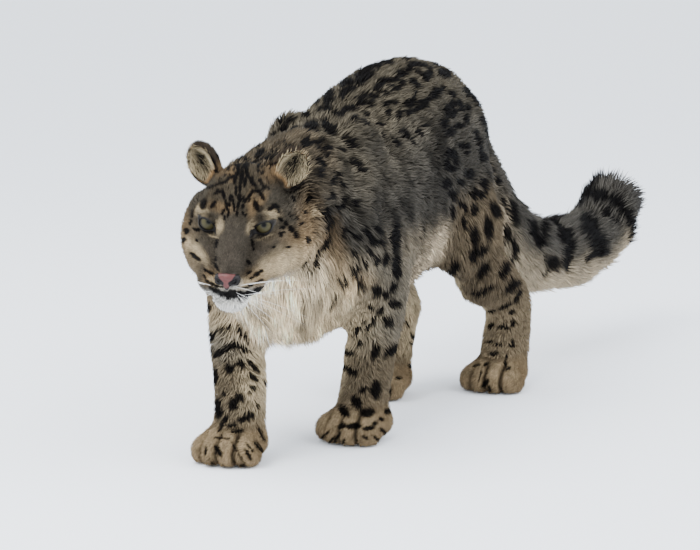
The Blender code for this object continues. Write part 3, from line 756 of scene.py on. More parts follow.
BACK_MARKS = [
    (392, 52.5, 22, 3.4, -3), (385, 61, 12.5, 5, -5), (365, 59, 10, 5.5, 5), (374, 67, 15, 6, 20),
    (362, 65, 6, 7.7, 0), (365, 75, 16, 6, 10), (362, 81, 10, 3.9, 10), (345, 66, 8.5, 3.9, 40),
    (341, 73, 12, 4.4, 30), (347, 83, 12.5, 5.4, 5), (348, 91, 14.5, 4, 20), (343, 95.5, 7.5, 3.9, 30),
    (370, 96, 13.5, 3.4, -8), (362, 102, 11, 4.2, -30), (371, 104, 6.5, 4.4, -20), (385, 105, 6.5, 3, -30),
    (353, 108, 12, 3.4, 0), (344, 112, 8.5, 4, 60), (355, 118.5, 7, 2.9, 0), (367, 115, 7, 2.5, -50),
    (365, 123, 8.5, 2.5, -30), (389, 80, 16, 3.7, 5), (379, 86, 8.5, 3.9, 40), (402, 83, 7.5, 3.4, -40),
    (384, 92, 8.5, 3.4, -20), (397, 89, 7, 3.4, 20), (391, 87, 5, 2.2, 0), (402, 73, 9.5, 5.4, 12),
    (418, 65.5, 16, 3.5, -5), (429, 73, 9.5, 4.7, 80), (411, 68.5, 5, 3.9, 45), (419, 73, 7, 3, -50),
    (424, 77, 6.5, 3, -45), (425, 80.5, 5.5, 3.2, -30), (415, 83, 10.5, 4.4, -40), (425, 58, 11, 3, -22),
    (406, 60.5, 6.5, 2.4, 5), (436, 65, 7, 2.4, -30), (444, 74, 11.5, 5.5, -20), (443, 62.5, 10, 2.4, -40),
    (435, 94, 9, 5.7, 50), (442, 89, 6.5, 3.9, 20), (415, 95, 8.5, 3.4, 60), (425, 101, 12, 3.7, 20),
    (410, 104, 11, 5, 10), (424, 105, 8.5, 4.4, 40), (418, 108.5, 10, 3, 20), (393, 103, 6.5, 3, 0),
    (388, 113, 8.5, 3.2, -70), (399, 115, 8.5, 3.4, 80), (408, 113, 6.5, 3.9, 10),
    (452, 95, 8.5, 2.9, -45), (452, 103, 5.5, 4.7, 0), (459, 104, 8.5, 3.9, -45), (466, 92, 8.5, 3.7, -60),
    (474, 95, 12, 5, -65), (479, 103, 8.5, 3.7, -65), (468, 108, 7, 3.9, -70), (447, 112, 12, 4.4, 85),
    (453, 114, 8.5, 3.5, 60), (458, 126, 11, 3.4, 10), (466, 119, 8.5, 3.2, 80), (461, 110, 7, 2.4, -20),
    (444, 124, 8.5, 4.7, 70), (449, 132.5, 7.5, 5, 30), (480, 118, 14.5, 3, -65), (487, 122, 10, 3, -75),
    (484, 133, 9, 5, 60), (477, 137, 11, 3, -70), (463, 146, 9, 4, -15), (466, 152, 5.5, 2.4, -60),
    (449, 153, 9, 3.9, 80), (455, 158.5, 12.5, 4, -75), (446, 163, 11, 3.2, 80), (450, 168, 9, 3.5, 0),
    (480, 146, 16, 3, 90), (483, 157, 9, 4.5, -60), (487, 163, 7, 3.4, -50), (489, 172, 8.5, 5.4, 80),
    (469, 174, 9, 6, -20), (460, 182, 7.5, 3.5, -38), (446, 184, 9, 6, 0), (497, 180, 6.5, 4.5, 60),
    (484, 184, 11, 4, -75), (375, 88, 5, 2.2, 20), (405, 134, 8.5, 4.4, -20), (380, 124, 6.5, 2.5, -45),
    (420, 133, 8.5, 2.5, -40), (412, 141, 8.5, 2.7, -50), (396, 142, 8.5, 2.4, -60),
    (384, 136, 6.5, 2, -50), (425, 126, 6.5, 2.4, 10),
]
THIGH_MARKS = [
    (452, 195, 11.5, 6, -55), (462, 206, 9.5, 3.9, -40), (466, 212, 7.5, 3.3, 80), (452, 212, 15, 3.3, 85),
    (464, 224, 11.5, 4.9, -75), (475, 195, 11.5, 5.8, 80), (483, 195, 9.5, 4.9, 70),
    (474, 212, 14, 4.6, 82), (495, 210.5, 15, 6.7, -60), (504, 205, 15, 3.3, -80),
    (488, 229, 19.5, 6.9, -85), (474, 237, 17.5, 6.2, -88), (474, 254, 15, 7.9, 80),
    (483, 250, 11.5, 5.3, 50), (507, 234, 18.5, 4.9, -80), (500, 246, 17.5, 6.9, 85),
    (514, 249, 13, 5.8, -85), (514, 214, 21, 6.3, -80), (483, 270, 17, 7.6, 60), (504, 271, 16.5, 6.7, 68),
    (512, 286, 15.5, 6.9, 35), (455, 268, 11.5, 6, 45), (452, 272, 7.5, 2.6, 0), (478, 293, 13, 4, 5),
    (489, 288.5, 15, 3, 30), (517, 297, 13, 4.2, 60), (505, 306, 13, 3, 25), (492, 311, 7.5, 2.5, 10),
    (512, 313, 6.5, 3.5, 50), (513, 324, 6.5, 3.5, 50), (504, 328, 11.5, 3.3, -10),
    (491, 327, 6.5, 3.9, 20), (478, 330, 4.5, 2.5, 30), (490, 342, 8.5, 2.6, 5),
    (500, 345.5, 10.5, 1.8, -10), (513, 342, 4, 2.8, 0), (494, 354, 5.5, 2.8, 10),
    (486, 364, 5.5, 2.8, 40), (506, 361, 12.5, 1.6, 85), (485, 384, 9.5, 3.2, 60), (489, 389, 5, 3.2, -60),
    (480, 375, 13, 1.4, 75), (508, 368, 6, 2.3, 30), (476, 357, 7, 1.8, 30), (476, 365, 6.5, 1.9, 20),
    (512, 346, 5.5, 1.9, 10), (511, 262, 9, 4.4, 80), (414, 338, 7.5, 3, -40), (411, 366, 3.5, 3.2, 0),
    (399, 377.5, 6.5, 2.5, -5), (407, 325, 6, 2.5, -50), (412, 345, 3.5, 3.5, 0),
]
TAIL_MARKS = [
    (533, 229, 16.5, 6, -72), (545, 231, 18.5, 5.2, 86), (539.5, 241, 12, 8.6, 88),
    (524, 203, 17.5, 3.3, -38), (538, 212, 16, 3.5, -25), (552, 218, 19.5, 3.2, 0),
    (565, 214, 10, 3.2, 25), (557, 226, 14, 7.1, -45), (565, 236, 16, 9.7, -50), (570, 245, 10, 7.1, -70),
    (568, 253, 16, 7.3, -85), (566.5, 264, 12, 6.3, 76), (551.5, 262.5, 14, 8.7, -55),
    (545, 273, 10.5, 3, 45), (588, 222, 15, 8.9, -10), (590, 230, 19.5, 12.3, -42),
    (597, 241, 18, 12.3, -70), (598, 251.5, 15.5, 7.1, 10), (588, 257, 8, 3.2, 30),
    (589, 194, 26, 8.6, -10), (602, 198, 26, 7.8, -8), (614, 202, 19.5, 8.9, -26),
    (624, 212, 17.5, 7.3, -50), (631.5, 225, 19.5, 6.1, -75), (634, 237, 16, 6, -86),
    (576, 204, 10, 8.6, 0), (606, 213, 10.5, 5.2, -50), (613, 220, 12, 3.5, -30),
    (580, 186, 18.5, 8.4, 65), (594, 177, 20.5, 6, 30), (583, 192, 18.5, 13, 70), (578, 200, 14, 9, 60),
    (590, 184, 16, 7, 50), (604, 176, 16, 4, 15),
]
FORELEG_MARKS = [
    (208, 308, 7, 5.9, 0), (210, 337, 8.5, 7.2, 0), (224, 330, 13, 2.8, 10), (240, 333, 8.5, 4.4, -30),
    (245, 338, 8.5, 3, -40), (222, 352.5, 13.5, 4.1, 20), (233, 346.5, 13.5, 4.2, 0),
    (244, 350, 13.5, 3.1, -30), (210, 352, 10, 4.4, 80), (229, 369, 8.5, 6.1, -70),
    (241, 365, 9, 5.1, -25), (253, 366.5, 13.5, 3, -47), (215, 376, 12.5, 4.5, 88),
    (254, 378, 10.5, 3.1, -45), (267, 386, 10, 2.2, -50), (253, 388, 6, 2.8, -45), (250, 393, 3, 1.9, 0),
    (224, 395, 4.5, 3.6, 0), (239, 398, 8.5, 6.1, -40), (233, 406, 9.5, 6.9, -50),
    (218, 409, 16.5, 4.1, 88), (221, 414, 7, 3, 70), (258, 407, 4.5, 2.8, -60), (246, 418.5, 13, 4.4, 20),
    (224, 421, 10.5, 2.8, 50), (231, 426, 8.5, 2.5, 15), (237, 431, 10.5, 2.3, 5),
    (221, 428, 8.5, 1.6, 45), (205, 451, 7.5, 2, 85), (218, 451.5, 10, 3.3, -65),
    (248, 455, 11.5, 2.7, -60), (239, 455, 22, 1.4, -62), (250, 447, 11.5, 1.7, -50),
    (259, 446, 11.5, 2.2, -55), (262, 434, 13, 2.3, -65), (213, 465, 10, 1.4, -50), (243, 467, 7, 2, -30),
    (222, 438, 13, 1.4, -5), (208, 357, 8, 3.1, 85), (212, 415, 9.5, 2.8, 85), (345, 233, 10.5, 4.5, 75),
    (358, 237.5, 6, 4.4, 60), (372, 240, 12.5, 4.4, -50), (366, 230, 8, 3.9, -60), (378, 230, 8, 3.9, -50),
    (380, 243, 8, 4.7, -50), (395, 238, 26.5, 5.9, 88), (396, 262, 12.5, 5.6, 85), (385, 259, 13, 4.2, 88),
    (369, 252, 7.5, 4.1, -50), (355, 255, 7, 3, 0), (357, 267, 6, 3.6, 20), (365, 265, 5.5, 3, -60),
    (353, 274, 8.5, 4.4, -60), (343, 282, 7, 5.3, 30), (361, 285, 8.5, 5.3, -40), (376, 291, 11, 6.9, -60),
    (385, 294, 7, 5.6, 40), (376, 262, 8.5, 4.1, 80), (395, 305, 10, 7.3, -20), (388, 323, 8.5, 6.1, 50),
    (397, 273, 9.5, 5.3, 80), (393, 287, 8.5, 5.6, 60), (380, 312, 7.5, 4.1, 50),
    (371, 308, 7.5, 2.5, -50), (399, 315, 6, 2.2, 60), (332, 303, 8.5, 3.1, 50), (372, 325, 13, 2.8, 60),
    (360, 331, 14.5, 2.3, 50), (375, 354, 11.5, 5.9, 78), (391, 351, 15, 5.8, 45),
    (349, 353, 10.5, 3.7, -15), (345, 367, 7, 3.6, -45), (352, 373, 10.5, 4.2, -35),
    (338, 355, 7, 3.4, 80), (339, 387, 7, 4.1, 80), (362, 391, 6, 4.5, 20), (376, 390, 13.5, 7.3, 85),
    (388, 395, 14, 4.1, 70), (357, 403, 10.5, 6.9, -50), (344, 411, 12, 5.1, -45),
    (368, 412, 12.5, 6.1, 5), (388, 411, 5.5, 4.4, 0), (382, 419, 4.5, 2.8, -30), (376, 423, 5, 3.3, 20),
    (342, 426, 7, 3.7, 20), (353, 426, 12, 4.4, 5), (369, 428, 10.5, 3, 10), (384, 432, 8.5, 2.2, -50),
    (365, 438, 7, 1.9, -30), (378, 440, 10, 1.9, -40), (325, 435, 8.5, 1.9, 45), (337, 438, 11.5, 2.2, 60),
    (331, 441, 8.5, 1.6, 55), (319, 441, 5.5, 2.2, 20), (343, 443, 7, 1.6, 70), (374, 345, 4.5, 2.3, 40),
    (360, 345, 9.5, 2.5, 40), (386, 262, 8, 3.1, 60),
]
SOFT_PATCHES = {
    "flank": [(370, 262, 92, 34, -66), (350, 208, 42, 30, -40), (385, 300, 45, 22, -70)],
    # Painted shade: two dark patches, in the hollow between the ribs and the thigh and along the back edge of
    # the foreleg.
    "painted fold shade": [(437, 160, 68, 9, 86), (396, 245, 42, 7, 86)],
    "grey": [
        (233, 245, 18.5, 40.5, 0), (281, 244, 25, 11, 20), (203, 242, 14, 12.5, 60),
        (292, 205, 34, 14, -40), (204, 192, 20, 8, 45), (285, 200, 25, 9.5, -35),
    ],
    "bridge": [
        (231, 250, 14, 34, 0), (262, 254, 14, 11, 30), (208, 256, 8, 9.5, 0), (230, 262, 14, 14, 0),
    ],
    "buff": [
        (309, 226, 14, 31, 0), (182, 222, 6, 37, 0), (300, 243, 18.5, 11, -30), (335, 258, 14, 52.5, 12),
        (355, 283, 21.5, 9.5, 10), (211, 277, 9.5, 8, 0), (256, 277, 12.5, 8, 10), (221, 207, 6, 12.5, 80),
        (252, 206, 5.5, 14, 0), (262, 199, 4.5, 9.5, -40), (272, 172, 11, 9.5, 30), (222, 166, 6, 9.5, -30),
        (231, 170, 4.5, 9.5, 0), (208, 302, 8, 21.5, 0),
    ],
    "cream": [
        (290, 259, 31, 11, 22), (195, 250, 18.5, 5.5, -45), (278, 268, 15.5, 8, 10), (270, 300, 34, 25, 0),
        (330, 310, 52.5, 40.5, 0), (235, 318, 40.5, 15.5, 0), (300, 330, 62, 21.5, 0), (219, 226, 8, 3.5, 80),
        (251, 227, 8, 3, 70), (273, 214, 8, 5.5, 0), (200, 210, 8, 5.5, -20), (316, 212, 4.5, 4.5, 0),
        (219, 284, 12.5, 5.5, -35), (243, 285, 14, 5.5, 22), (212, 236, 6, 1.0, -20), (265, 237, 9, 0.8, 20),
    ],
    "white": [(236, 304, 32.5, 12.5, 0), (220, 301, 11, 8, 0), (253, 301, 9.5, 8, 0), (231, 283, 9.5, 6, 0)],
}
# How strongly each soft patch shows, how firm an edge is, and how much longer and wider the hair
# spreads what lies under it.
PATCH_STRENGTH = {"flank": 0.30, "painted fold shade": 0.55, "buff": 0.5, "cream": 0.6, "bridge": 0.8}
OTHER_STRENGTH = 0.9
PATCH_FIRM = 0.45
MARK_FIRM = 1.7
HAIR_SPREAD = (1.10, 1.30)
LONG_HAIR_SPREAD = (1.20, 1.55)
# How far through the body a marking reaches, the steps that look for skin near a sight line,
# and how far the other side's markings are moved back.
MARK_DEPTH = 0.024
MARK_DEPTH_SHARE = 2.6
MARK_REACH_SHARE = 3.3
FAR_OFF = 9.0
SEARCH_FROM = 3.6
SEARCH_STEP = 0.02
SEARCH_STEPS = 120
MISSED_BY = 0.04
FAR_SHIFT = 0.030
LIMB_WIDTH = 0.20
BACK_GROWTH = 1.2


class Mark:
    """One marking: where it lies, which way its long side runs, and how big it is."""

    def __init__(self, middle, along, across, sight_line, half_length, half_width):
        self.middle, self.along, self.across = np.array(middle), np.array(along), np.array(across)
        self.sight_line = np.array(sight_line)
        self.half_length, self.half_width = half_length, half_width

    def distance(self, at):
        """1 on the marking's edge and less inside it, for points near it."""
        away = at - self.middle
        far = np.hypot((away @ self.along) / self.half_length, (away @ self.across) / self.half_width)
        deep = np.abs(away @ self.sight_line) > MARK_DEPTH_SHARE * self.half_length + MARK_DEPTH
        return far + FAR_OFF * deep

    def on_far_side(self):
        """The same marking on the animal's other side, a little further back."""
        flip = np.array((-1, 1, 1))
        middle = self.middle * flip + np.array((2 * MIDDLE_X, FAR_SHIFT, 0))
        hit = skin_tree.find_nearest(Vector(middle))[0]
        ways = (self.along * flip, self.across * flip, self.sight_line * flip)
        return Mark(hit, *ways, self.half_length, self.half_width)

    def on_back(self):
        """The same marking on the back of the leg or tail that carries it."""
        start = Vector(self.middle + self.sight_line * 0.004)
        hit = skin_tree.ray_cast(start, Vector(self.sight_line), LIMB_WIDTH)[0]
        if hit is None:
            return None
        sizes = (self.half_length * BACK_GROWTH, self.half_width * BACK_GROWTH)
        return Mark(hit, self.along, -self.across, self.sight_line, *sizes)


def seen_marks(marks, spread):
    """Markings where the picture shows them, laid on the coat. At the outline the sight line
    passes through hair alone, so the nearest skin counts."""
    found = []
    for x, y, half_length, half_width, slant in marks:
        ray = sight((x, y)).normalized()
        hit = skin_tree.ray_cast(camera_at, ray)[0]
        if hit is None:
            tries = [camera_at + ray * (SEARCH_FROM + SEARCH_STEP * k) for k in range(SEARCH_STEPS)]
            hit = min(tries, key=lambda p: skin_tree.find_nearest(p)[3])
            if skin_tree.find_nearest(hit)[3] > MISSED_BY:
                continue
        right = (view_right - ray * view_right.dot(ray)).normalized()
        up = right.cross(ray).normalized()
        turn = math.radians(slant)
        along = right * math.cos(turn) + up * math.sin(turn)
        across = up * math.cos(turn) - right * math.sin(turn)
        sizes = (spread[0] * half_length / 1000, spread[1] * half_width / 1000)
        found.append(Mark(hit, along, across, ray, *sizes))
    return found


near_marks = seen_marks(FACE_MARKS + THIGH_MARKS + FORELEG_MARKS, HAIR_SPREAD)
near_marks += seen_marks(NECK_MARKS + BACK_MARKS + TAIL_MARKS, LONG_HAIR_SPREAD)
flank_marks = seen_marks(NECK_MARKS + BACK_MARKS + THIGH_MARKS, LONG_HAIR_SPREAD)
far_marks = [mark.on_far_side() for mark in flank_marks]
far_marks += filter(None, [mark.on_back() for mark in seen_marks(TAIL_MARKS + FORELEG_MARKS, HAIR_SPREAD)])
patches = [
    (name, patch) for name, group in SOFT_PATCHES.items() for patch in seen_marks(group, HAIR_SPREAD)
]


def covered(at, marks, firm):
    """How much of each point the markings cover, from 0 to 1, with edges broken up by the hair."""
    cover = np.zeros(len(at))
    ragged = 0.15 * noise(at, 0.0045, 3) + 0.12 * noise(at, 0.011, 4)
    order = np.argsort(at[:, 0])
    sorted_x = at[order, 0]
    for mark in marks:
        reach = MARK_REACH_SHARE * mark.half_length + MARK_DEPTH
        low, high = np.searchsorted(sorted_x, (mark.middle[0] - reach, mark.middle[0] + reach))
        near = order[low:high]
        near = near[(np.abs(at[near, 1:] - mark.middle[1:]) < reach).all(axis=1)]
        if len(near):
            distance = mark.distance(at[near]) + ragged[near]
            cover[near] = np.maximum(cover[near], soft_step(1.0 + 0.5 / firm, 1.0 - 0.4 / firm, distance))
    return cover


def scattered_spots(at, size, seed, reach=0.24):
    """Small spots, one to each cell of an uneven lattice, for the crown and the sides not seen."""
    cells = at / size
    base = np.floor(cells).astype(np.int64)
    nearest = np.full(len(at), FAR_OFF)
    for corner in np.ndindex(3, 3, 3):
        cell = base + np.array(corner) - 1
        middle = np.stack([scrambled(cell, seed + axis) / 65536.0 for axis in range(3)], 1)
        nearest = np.minimum(nearest, np.linalg.norm(cells - cell - 0.2 - 0.6 * middle, axis=1))
    nearest += 0.06 * noise(at, size * 0.25, seed + 5)
    return soft_step(reach, reach - 0.07, nearest)


FLANK_SLOPE = np.array((0.0, 0.45, -0.89))


def coat_colour(at, base, seen, owner):
    """The colour of the coat at points on it: its ground, the soft patches, and the markings."""
    names = np.array(flesh)[owner]
    q = rows(at, to_head)
    colours = base
    for name, patch in patches:
        share = PATCH_STRENGTH.get(name, OTHER_STRENGTH) * covered(at, [patch], PATCH_FIRM)
        colours = mixed(colours, name, share * seen)
    grain = 0.7 * noise(at, 0.0035, 12) + 0.5 * noise(at, 0.0075, 13)
    colours = colours * (1 + 0.30 * grain)[:, None]
    # Long dark streaks run down the flank, where the fur parts.
    streak = noise(at - 0.70 * (at @ FLANK_SLOPE)[:, None] * FLANK_SLOPE, 0.013, 11)
    dim = ((names == "trunk") | (names == "neck")) * soft_step(0.56, 0.50, at[:, 2])
    streak = (0.16 + 0.66 * dim) * streak * soft_step(0.0, 0.3, np.abs(streak))
    colours = colours * (1 + streak)[:, None]
    is_head, is_neck = names == "head", names == "neck"
    leg = np.char.startswith(names, "fore")
    leg = leg | np.char.startswith(names, "hindshin") | np.char.startswith(names, "hindpaw")
    below = soft_step(0.40, 0.30, at[:, 2]) * (names == "trunk")
    spots = np.where(leg, scattered_spots(at, size=0.030, seed=21), 0)
    head_or_ear = is_head | np.char.startswith(names, "ear")
    spots = spots + np.where(head_or_ear, scattered_spots(at, size=0.022, seed=31), 0)
    unseen = 1 - seen
    cover = np.maximum(covered(at, near_marks, MARK_FIRM) * seen, covered(at, far_marks, MARK_FIRM) * unseen)
    cover = np.maximum(cover, spots * unseen * 0.85 * (1 - below))
    # The crown carries small marks drawn out towards the nape, and the nape rounder ones.
    crown = soft_step(0.020, 0.038, q[:, 2]) * soft_step(0.135, 0.11, q[:, 1])
    crown = crown * soft_step(0.060, 0.036, np.abs(q[:, 0])) * is_head
    drawn_out = q * np.array((1, 0.45, 0.45))
    cover = np.maximum(cover, 0.95 * crown * scattered_spots(drawn_out, size=0.0090, seed=41, reach=0.37))
    nape = soft_step(0.085, 0.11, q[:, 1]) * soft_step(0.20, 0.14, q[:, 1])
    nape = nape * soft_step(-0.01, 0.02, q[:, 2]) * (is_head | is_neck)
    cover = np.maximum(cover, 0.85 * nape * scattered_spots(at, size=0.017, seed=43, reach=0.30))
    return mixed(colours, "black", 0.98 * cover)


# Where the picture shows the coat: it faces the camera, and nothing stands in front of it.
HAIR_CLEAR = 0.012
VIEW_REACH = 3.0
toward_camera = unit(np.array(camera_at) - points)
facing = (normals * toward_camera).sum(1)
open_view = np.zeros(len(points))
for index in np.nonzero(facing > 0)[0]:
    start = Vector(points[index] + normals[index] * HAIR_CLEAR)
    open_view[index] = skin_tree.ray_cast(start, Vector(toward_camera[index]), VIEW_REACH)[0] is None
seen = relaxed(open_view, pairs, 5)[:, 0] * soft_step(-0.25, -0.02, facing)
seen = np.clip(seen * 1.6, 0, 1)


def coloured(mesh, colours):
    layer = mesh.color_attributes.new("coat_colour", "FLOAT_COLOR", "POINT")
    full = np.ones((len(colours), 4), np.float32)
    full[:, :3] = np.clip(colours, 0, 1)
    layer.data.foreach_set("color", full.ravel())


class Socket:
    """A value in a material, with the sums that Python writes as operators."""

    def __init__(self, tree, output):
        self.tree, self.output = tree, output

    def sum_with(self, operation, other):
        node = self.tree.nodes.new("ShaderNodeMath")
        node.operation = operation
        self.tree.links.new(self.output, node.inputs[0])
        if isinstance(other, Socket):
            self.tree.links.new(other.output, node.inputs[1])
        else:
            node.inputs[1].default_value = other
        return Socket(self.tree, node.outputs[0])

    def __add__(self, other):
        return self.sum_with("ADD", other)

    def __mul__(self, other):
        return self.sum_with("MULTIPLY", other)

    __radd__ = __add__
    __rmul__ = __mul__


class Finish:
    """A material and its shader, with one way of adding any node."""

    def __init__(self, name, **values):
        self.material = bpy.data.materials.new(name)
        self.material.use_nodes = True
        self.tree = self.material.node_tree
        self.shader = self.tree.nodes["Principled BSDF"]
        self.give(**values)

    def fill(self, node, values):
        for key, value in values.items():
            socket = node.inputs[key.replace("_", " ")]
            if isinstance(value, Socket):
                self.tree.links.new(value.output, socket)
            else:
                socket.default_value = value

    def node(self, kind, settings=None, output=0, **values):
        made = self.tree.nodes.new(kind)
        for key, value in (settings or {}).items():
            setattr(made, key, value)
        self.fill(made, values)
        return Socket(self.tree, made.outputs[output])

    def give(self, **values):
        self.fill(self.shader, values)

    def painted(self):
        self.give(Base_Color=self.node("ShaderNodeAttribute", {"attribute_name": "coat_colour"}))

    def place(self):
        return self.node("ShaderNodeTexCoord", output=3)


def hair_finish(name, roughness, bump_scale, bump_height):
    """Hair: its painted colour, hardly any shine, and fine streaks too small to be tufts."""
    finish = Finish(name, Specular_IOR_Level=0.03)
    finish.painted()
    grain = finish.node("ShaderNodeTexNoise", Vector=finish.place(), Scale=bump_scale, Detail=3.0)
    streaks = finish.node("ShaderNodeBump", Height=grain, Strength=0.6, Distance=bump_height)
    finish.give(Normal=streaks, Roughness=0.12 * grain + roughness)
    return finish.material


# The skin under the tufts takes the coat's colours painted darker: partly the darker underfur and partly
# painted shade between the tufts.
UNDER_FUR_SHADE = 0.62
coat_level = points + normals * fields[:, 1:2]
coloured(skin_mesh, coat_colour(coat_level, ground, seen, owner) * UNDER_FUR_SHADE)
skin_mesh.materials.clear()
skin_mesh.materials.append(hair_finish("under fur", 0.75, 900.0, 0.0006))
skin_mesh.polygons.foreach_set("use_smooth", [True] * len(skin_mesh.polygons))
skin = placed("skin", skin_mesh)
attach(skin, "root")
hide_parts(*flesh)

# The eyes: a moist ball in each socket, olive-grey, with a small round pupil and a dark edge
# to the iris. They look at the camera. Two lids of bare black skin close on each ball.
EYE_RINGS = 64
EYE_COLUMNS = 96
LID_COLUMNS = 72
FACE_FUR_DEPTH = 0.0026
EYE_SUNK = 0.0002
CORNEA = 0.0010
IRIS = 0.0124
PUPIL = 0.0030
GAZE_RAISED = 0.07
TONES |= {
    "pupil": (5, 5, 6), "inner iris": (36, 36, 29), "iris": (58, 54, 36), "iris edge": (46, 41, 26),
    "limbus": (12, 10, 9), "eye white": (34, 27, 23), "lid": (14, 12, 12),
}
# How far from the middle of the eye each tone starts, and where it is full.
EYE_ZONES = (
    ("iris edge", IRIS * 0.76, IRIS * 0.93), ("limbus", IRIS * 0.94, IRIS * 1.01),
    ("eye white", IRIS * 1.06, IRIS * 1.16), ("pupil", PUPIL * 1.15, PUPIL * 0.9),
)


def grid_faces(rings, columns, closed):
    """Quads between rings of a net; the last ring joins the first where it is closed."""
    found = []
    for ring in range(rings if closed else rings - 1):
        here, upper = ring * columns, (ring + 1) % rings * columns
        for column in range(columns):
            after = (column + 1) % columns
            found.append((here + column, here + after, upper + after, upper + column))
    return found


def outward(mesh):
    """A closed mesh with its faces turned outwards and shaded smooth."""
    made = bmesh.new()
    made.from_mesh(mesh)
    bmesh.ops.recalc_face_normals(made, faces=made.faces)
    made.to_mesh(mesh)
    made.free()
    mesh.polygons.foreach_set("use_smooth", [True] * len(mesh.polygons))
    mesh.update()


def moist_finish(name, roughness, gloss, shine, pebble_height=0):
    """Bare wet skin or a wet eye: its painted colour under a thin gloss, pebbled where asked."""
    finish = Finish(name, Roughness=roughness, Coat_Weight=gloss, Coat_Roughness=0.05)
    finish.give(Specular_IOR_Level=shine)
    finish.painted()
    if pebble_height:
        pebbles = finish.node("ShaderNodeTexVoronoi", Vector=finish.place(), Scale=1100.0)
        bumps = finish.node("ShaderNodeBump", Height=pebbles, Strength=0.5, Distance=pebble_height)
        finish.give(Normal=bumps)
    return finish.material


def eyeball(side):
    """The ball, as rings about the line of sight, with the clear front's slight bulge."""
    middle = HEAD @ EYE_FRAME[side].to_translation()
    gaze = ((camera_at - middle).normalized() + view_up * GAZE_RAISED).normalized()
    place = Matrix.Translation(middle) @ gaze.to_track_quat("-Y", "Z").to_matrix().to_4x4()
    angle = np.repeat(np.linspace(0.0, math.pi, EYE_RINGS + 1)[1:-1], EYE_COLUMNS)
    around = np.tile(np.linspace(0, 2 * math.pi, EYE_COLUMNS, endpoint=False), EYE_RINGS - 1)
    radius = EYE_RADIUS - EYE_SUNK + CORNEA * soft_step(0.92, 0.30, angle)
    aside = np.sin(angle)
    net = np.stack([aside * np.cos(around), -np.cos(angle), aside * np.sin(around)], 1) * radius[:, None]
    poles = [(0, -(EYE_RADIUS - EYE_SUNK + CORNEA), 0), (0, EYE_RADIUS - EYE_SUNK, 0)]
    off = np.where(angle < math.pi / 2, aside * EYE_RADIUS, 1.0)
    rays = 0.5 + 0.5 * np.sin(around * 23 + 2.3 * np.sin(around * 7)) * np.sin(around * 11 + 1)
    colours = mixed(np.tile(tone("inner iris"), (len(net), 1)), "iris", soft_step(PUPIL, PUPIL * 2.2, off))
    colours = colours * (0.86 + 0.28 * rays)[:, None]
    colours = layered(colours, *[(name, soft_step(start, full, off)) for name, start, full in EYE_ZONES])
    faces = grid_faces(EYE_RINGS - 1, EYE_COLUMNS, False)
    front, back, last = len(net), len(net) + 1, len(net) - EYE_COLUMNS
    for column in range(EYE_COLUMNS):
        after = (column + 1) % EYE_COLUMNS
        faces += [(front, after, column), (back, last + column, last + after)]
    mesh = bpy.data.meshes.new(f"eyeball_{side}")
    mesh.from_pydata(rows(np.concatenate([net, poles]), place).tolist(), [], faces)
    outward(mesh)
    coloured(mesh, np.concatenate([colours, [tone("pupil"), tone("eye white")]]))
    mesh.materials.append(moist_finish(f"eye {side}", 0.35, 0.12, 0.04))
    made = placed(f"eyeball_{side}", mesh)
    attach(made, "root")
    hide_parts(f"eye_{side}")


def eyelids(side):
    """Both lids as one ring of bare skin from the ball out to the fur."""
    sign = SIDES[side]
    turn = np.linspace(0, 2 * math.pi, LID_COLUMNS, endpoint=False)
    opening, rim = rim_reach(turn)

    def ring(reach, depth):
        return np.stack([sign * np.cos(turn) * reach, depth, np.sin(turn) * reach], 1)

    def ball(reach, radius):
        return -np.sqrt(np.maximum(radius**2 - np.minimum(reach, radius * 0.93) ** 2, 1e-8))

    def skin_front(reach):
        depth = np.linspace(-0.030, 0.016, 93)
        tries = np.repeat(ring(reach, 0 * turn), len(depth), axis=0)
        tries[:, 1] = np.tile(depth, len(turn))
        inside = (head_distance(rows(tries, EYE_FRAME[side])) < -FACE_FUR_DEPTH).reshape(len(turn), -1)
        return depth[inside.argmax(axis=1)]

    beyond = rim + 0.0045
    between = (opening + rim) / 2
    fur_level = skin_front(beyond)
    lid = np.minimum(ball(rim, EYE_RADIUS + 0.0010), skin_front(rim) - 0.0022)
    net = [
        ring(opening * 0.99, ball(opening * 0.99, EYE_RADIUS - 0.0006)),
        ring(opening, ball(opening, EYE_RADIUS + 0.0009)),
        ring(opening + 0.0007, ball(opening + 0.0007, EYE_RADIUS + 0.0015)),
        ring(between + 0.0004, (ball(between, EYE_RADIUS + 0.0014) + lid) / 2),
        ring(rim, lid),
        ring(beyond, fur_level + 0.0012),
        ring(beyond, fur_level + 0.0050),
        ring(between, np.maximum(ball(between, EYE_RADIUS - 0.003), lid + 0.0030)),
    ]
    furred = np.repeat(np.array([0, 0, 0, 0, 0.15, 1, 1, 0]), LID_COLUMNS)
    mesh = bpy.data.meshes.new(f"eyelids_{side}")
    at = rows(rows(np.concatenate(net), EYE_FRAME[side]), HEAD)
    mesh.from_pydata(at.tolist(), [], grid_faces(len(net), LID_COLUMNS, True))
    outward(mesh)
    coloured(mesh, mixed(np.tile(tone("lid"), (len(at), 1)), "face", furred * 0.8))
    mesh.materials.append(moist_finish(f"eyelid {side}", 0.50, 0.06, 0.10, 0.0001))
    made = placed(f"eyelids_{side}", mesh)
    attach(made, "root")


for side in SIDES:
    eyeball(side)
    eyelids(side)

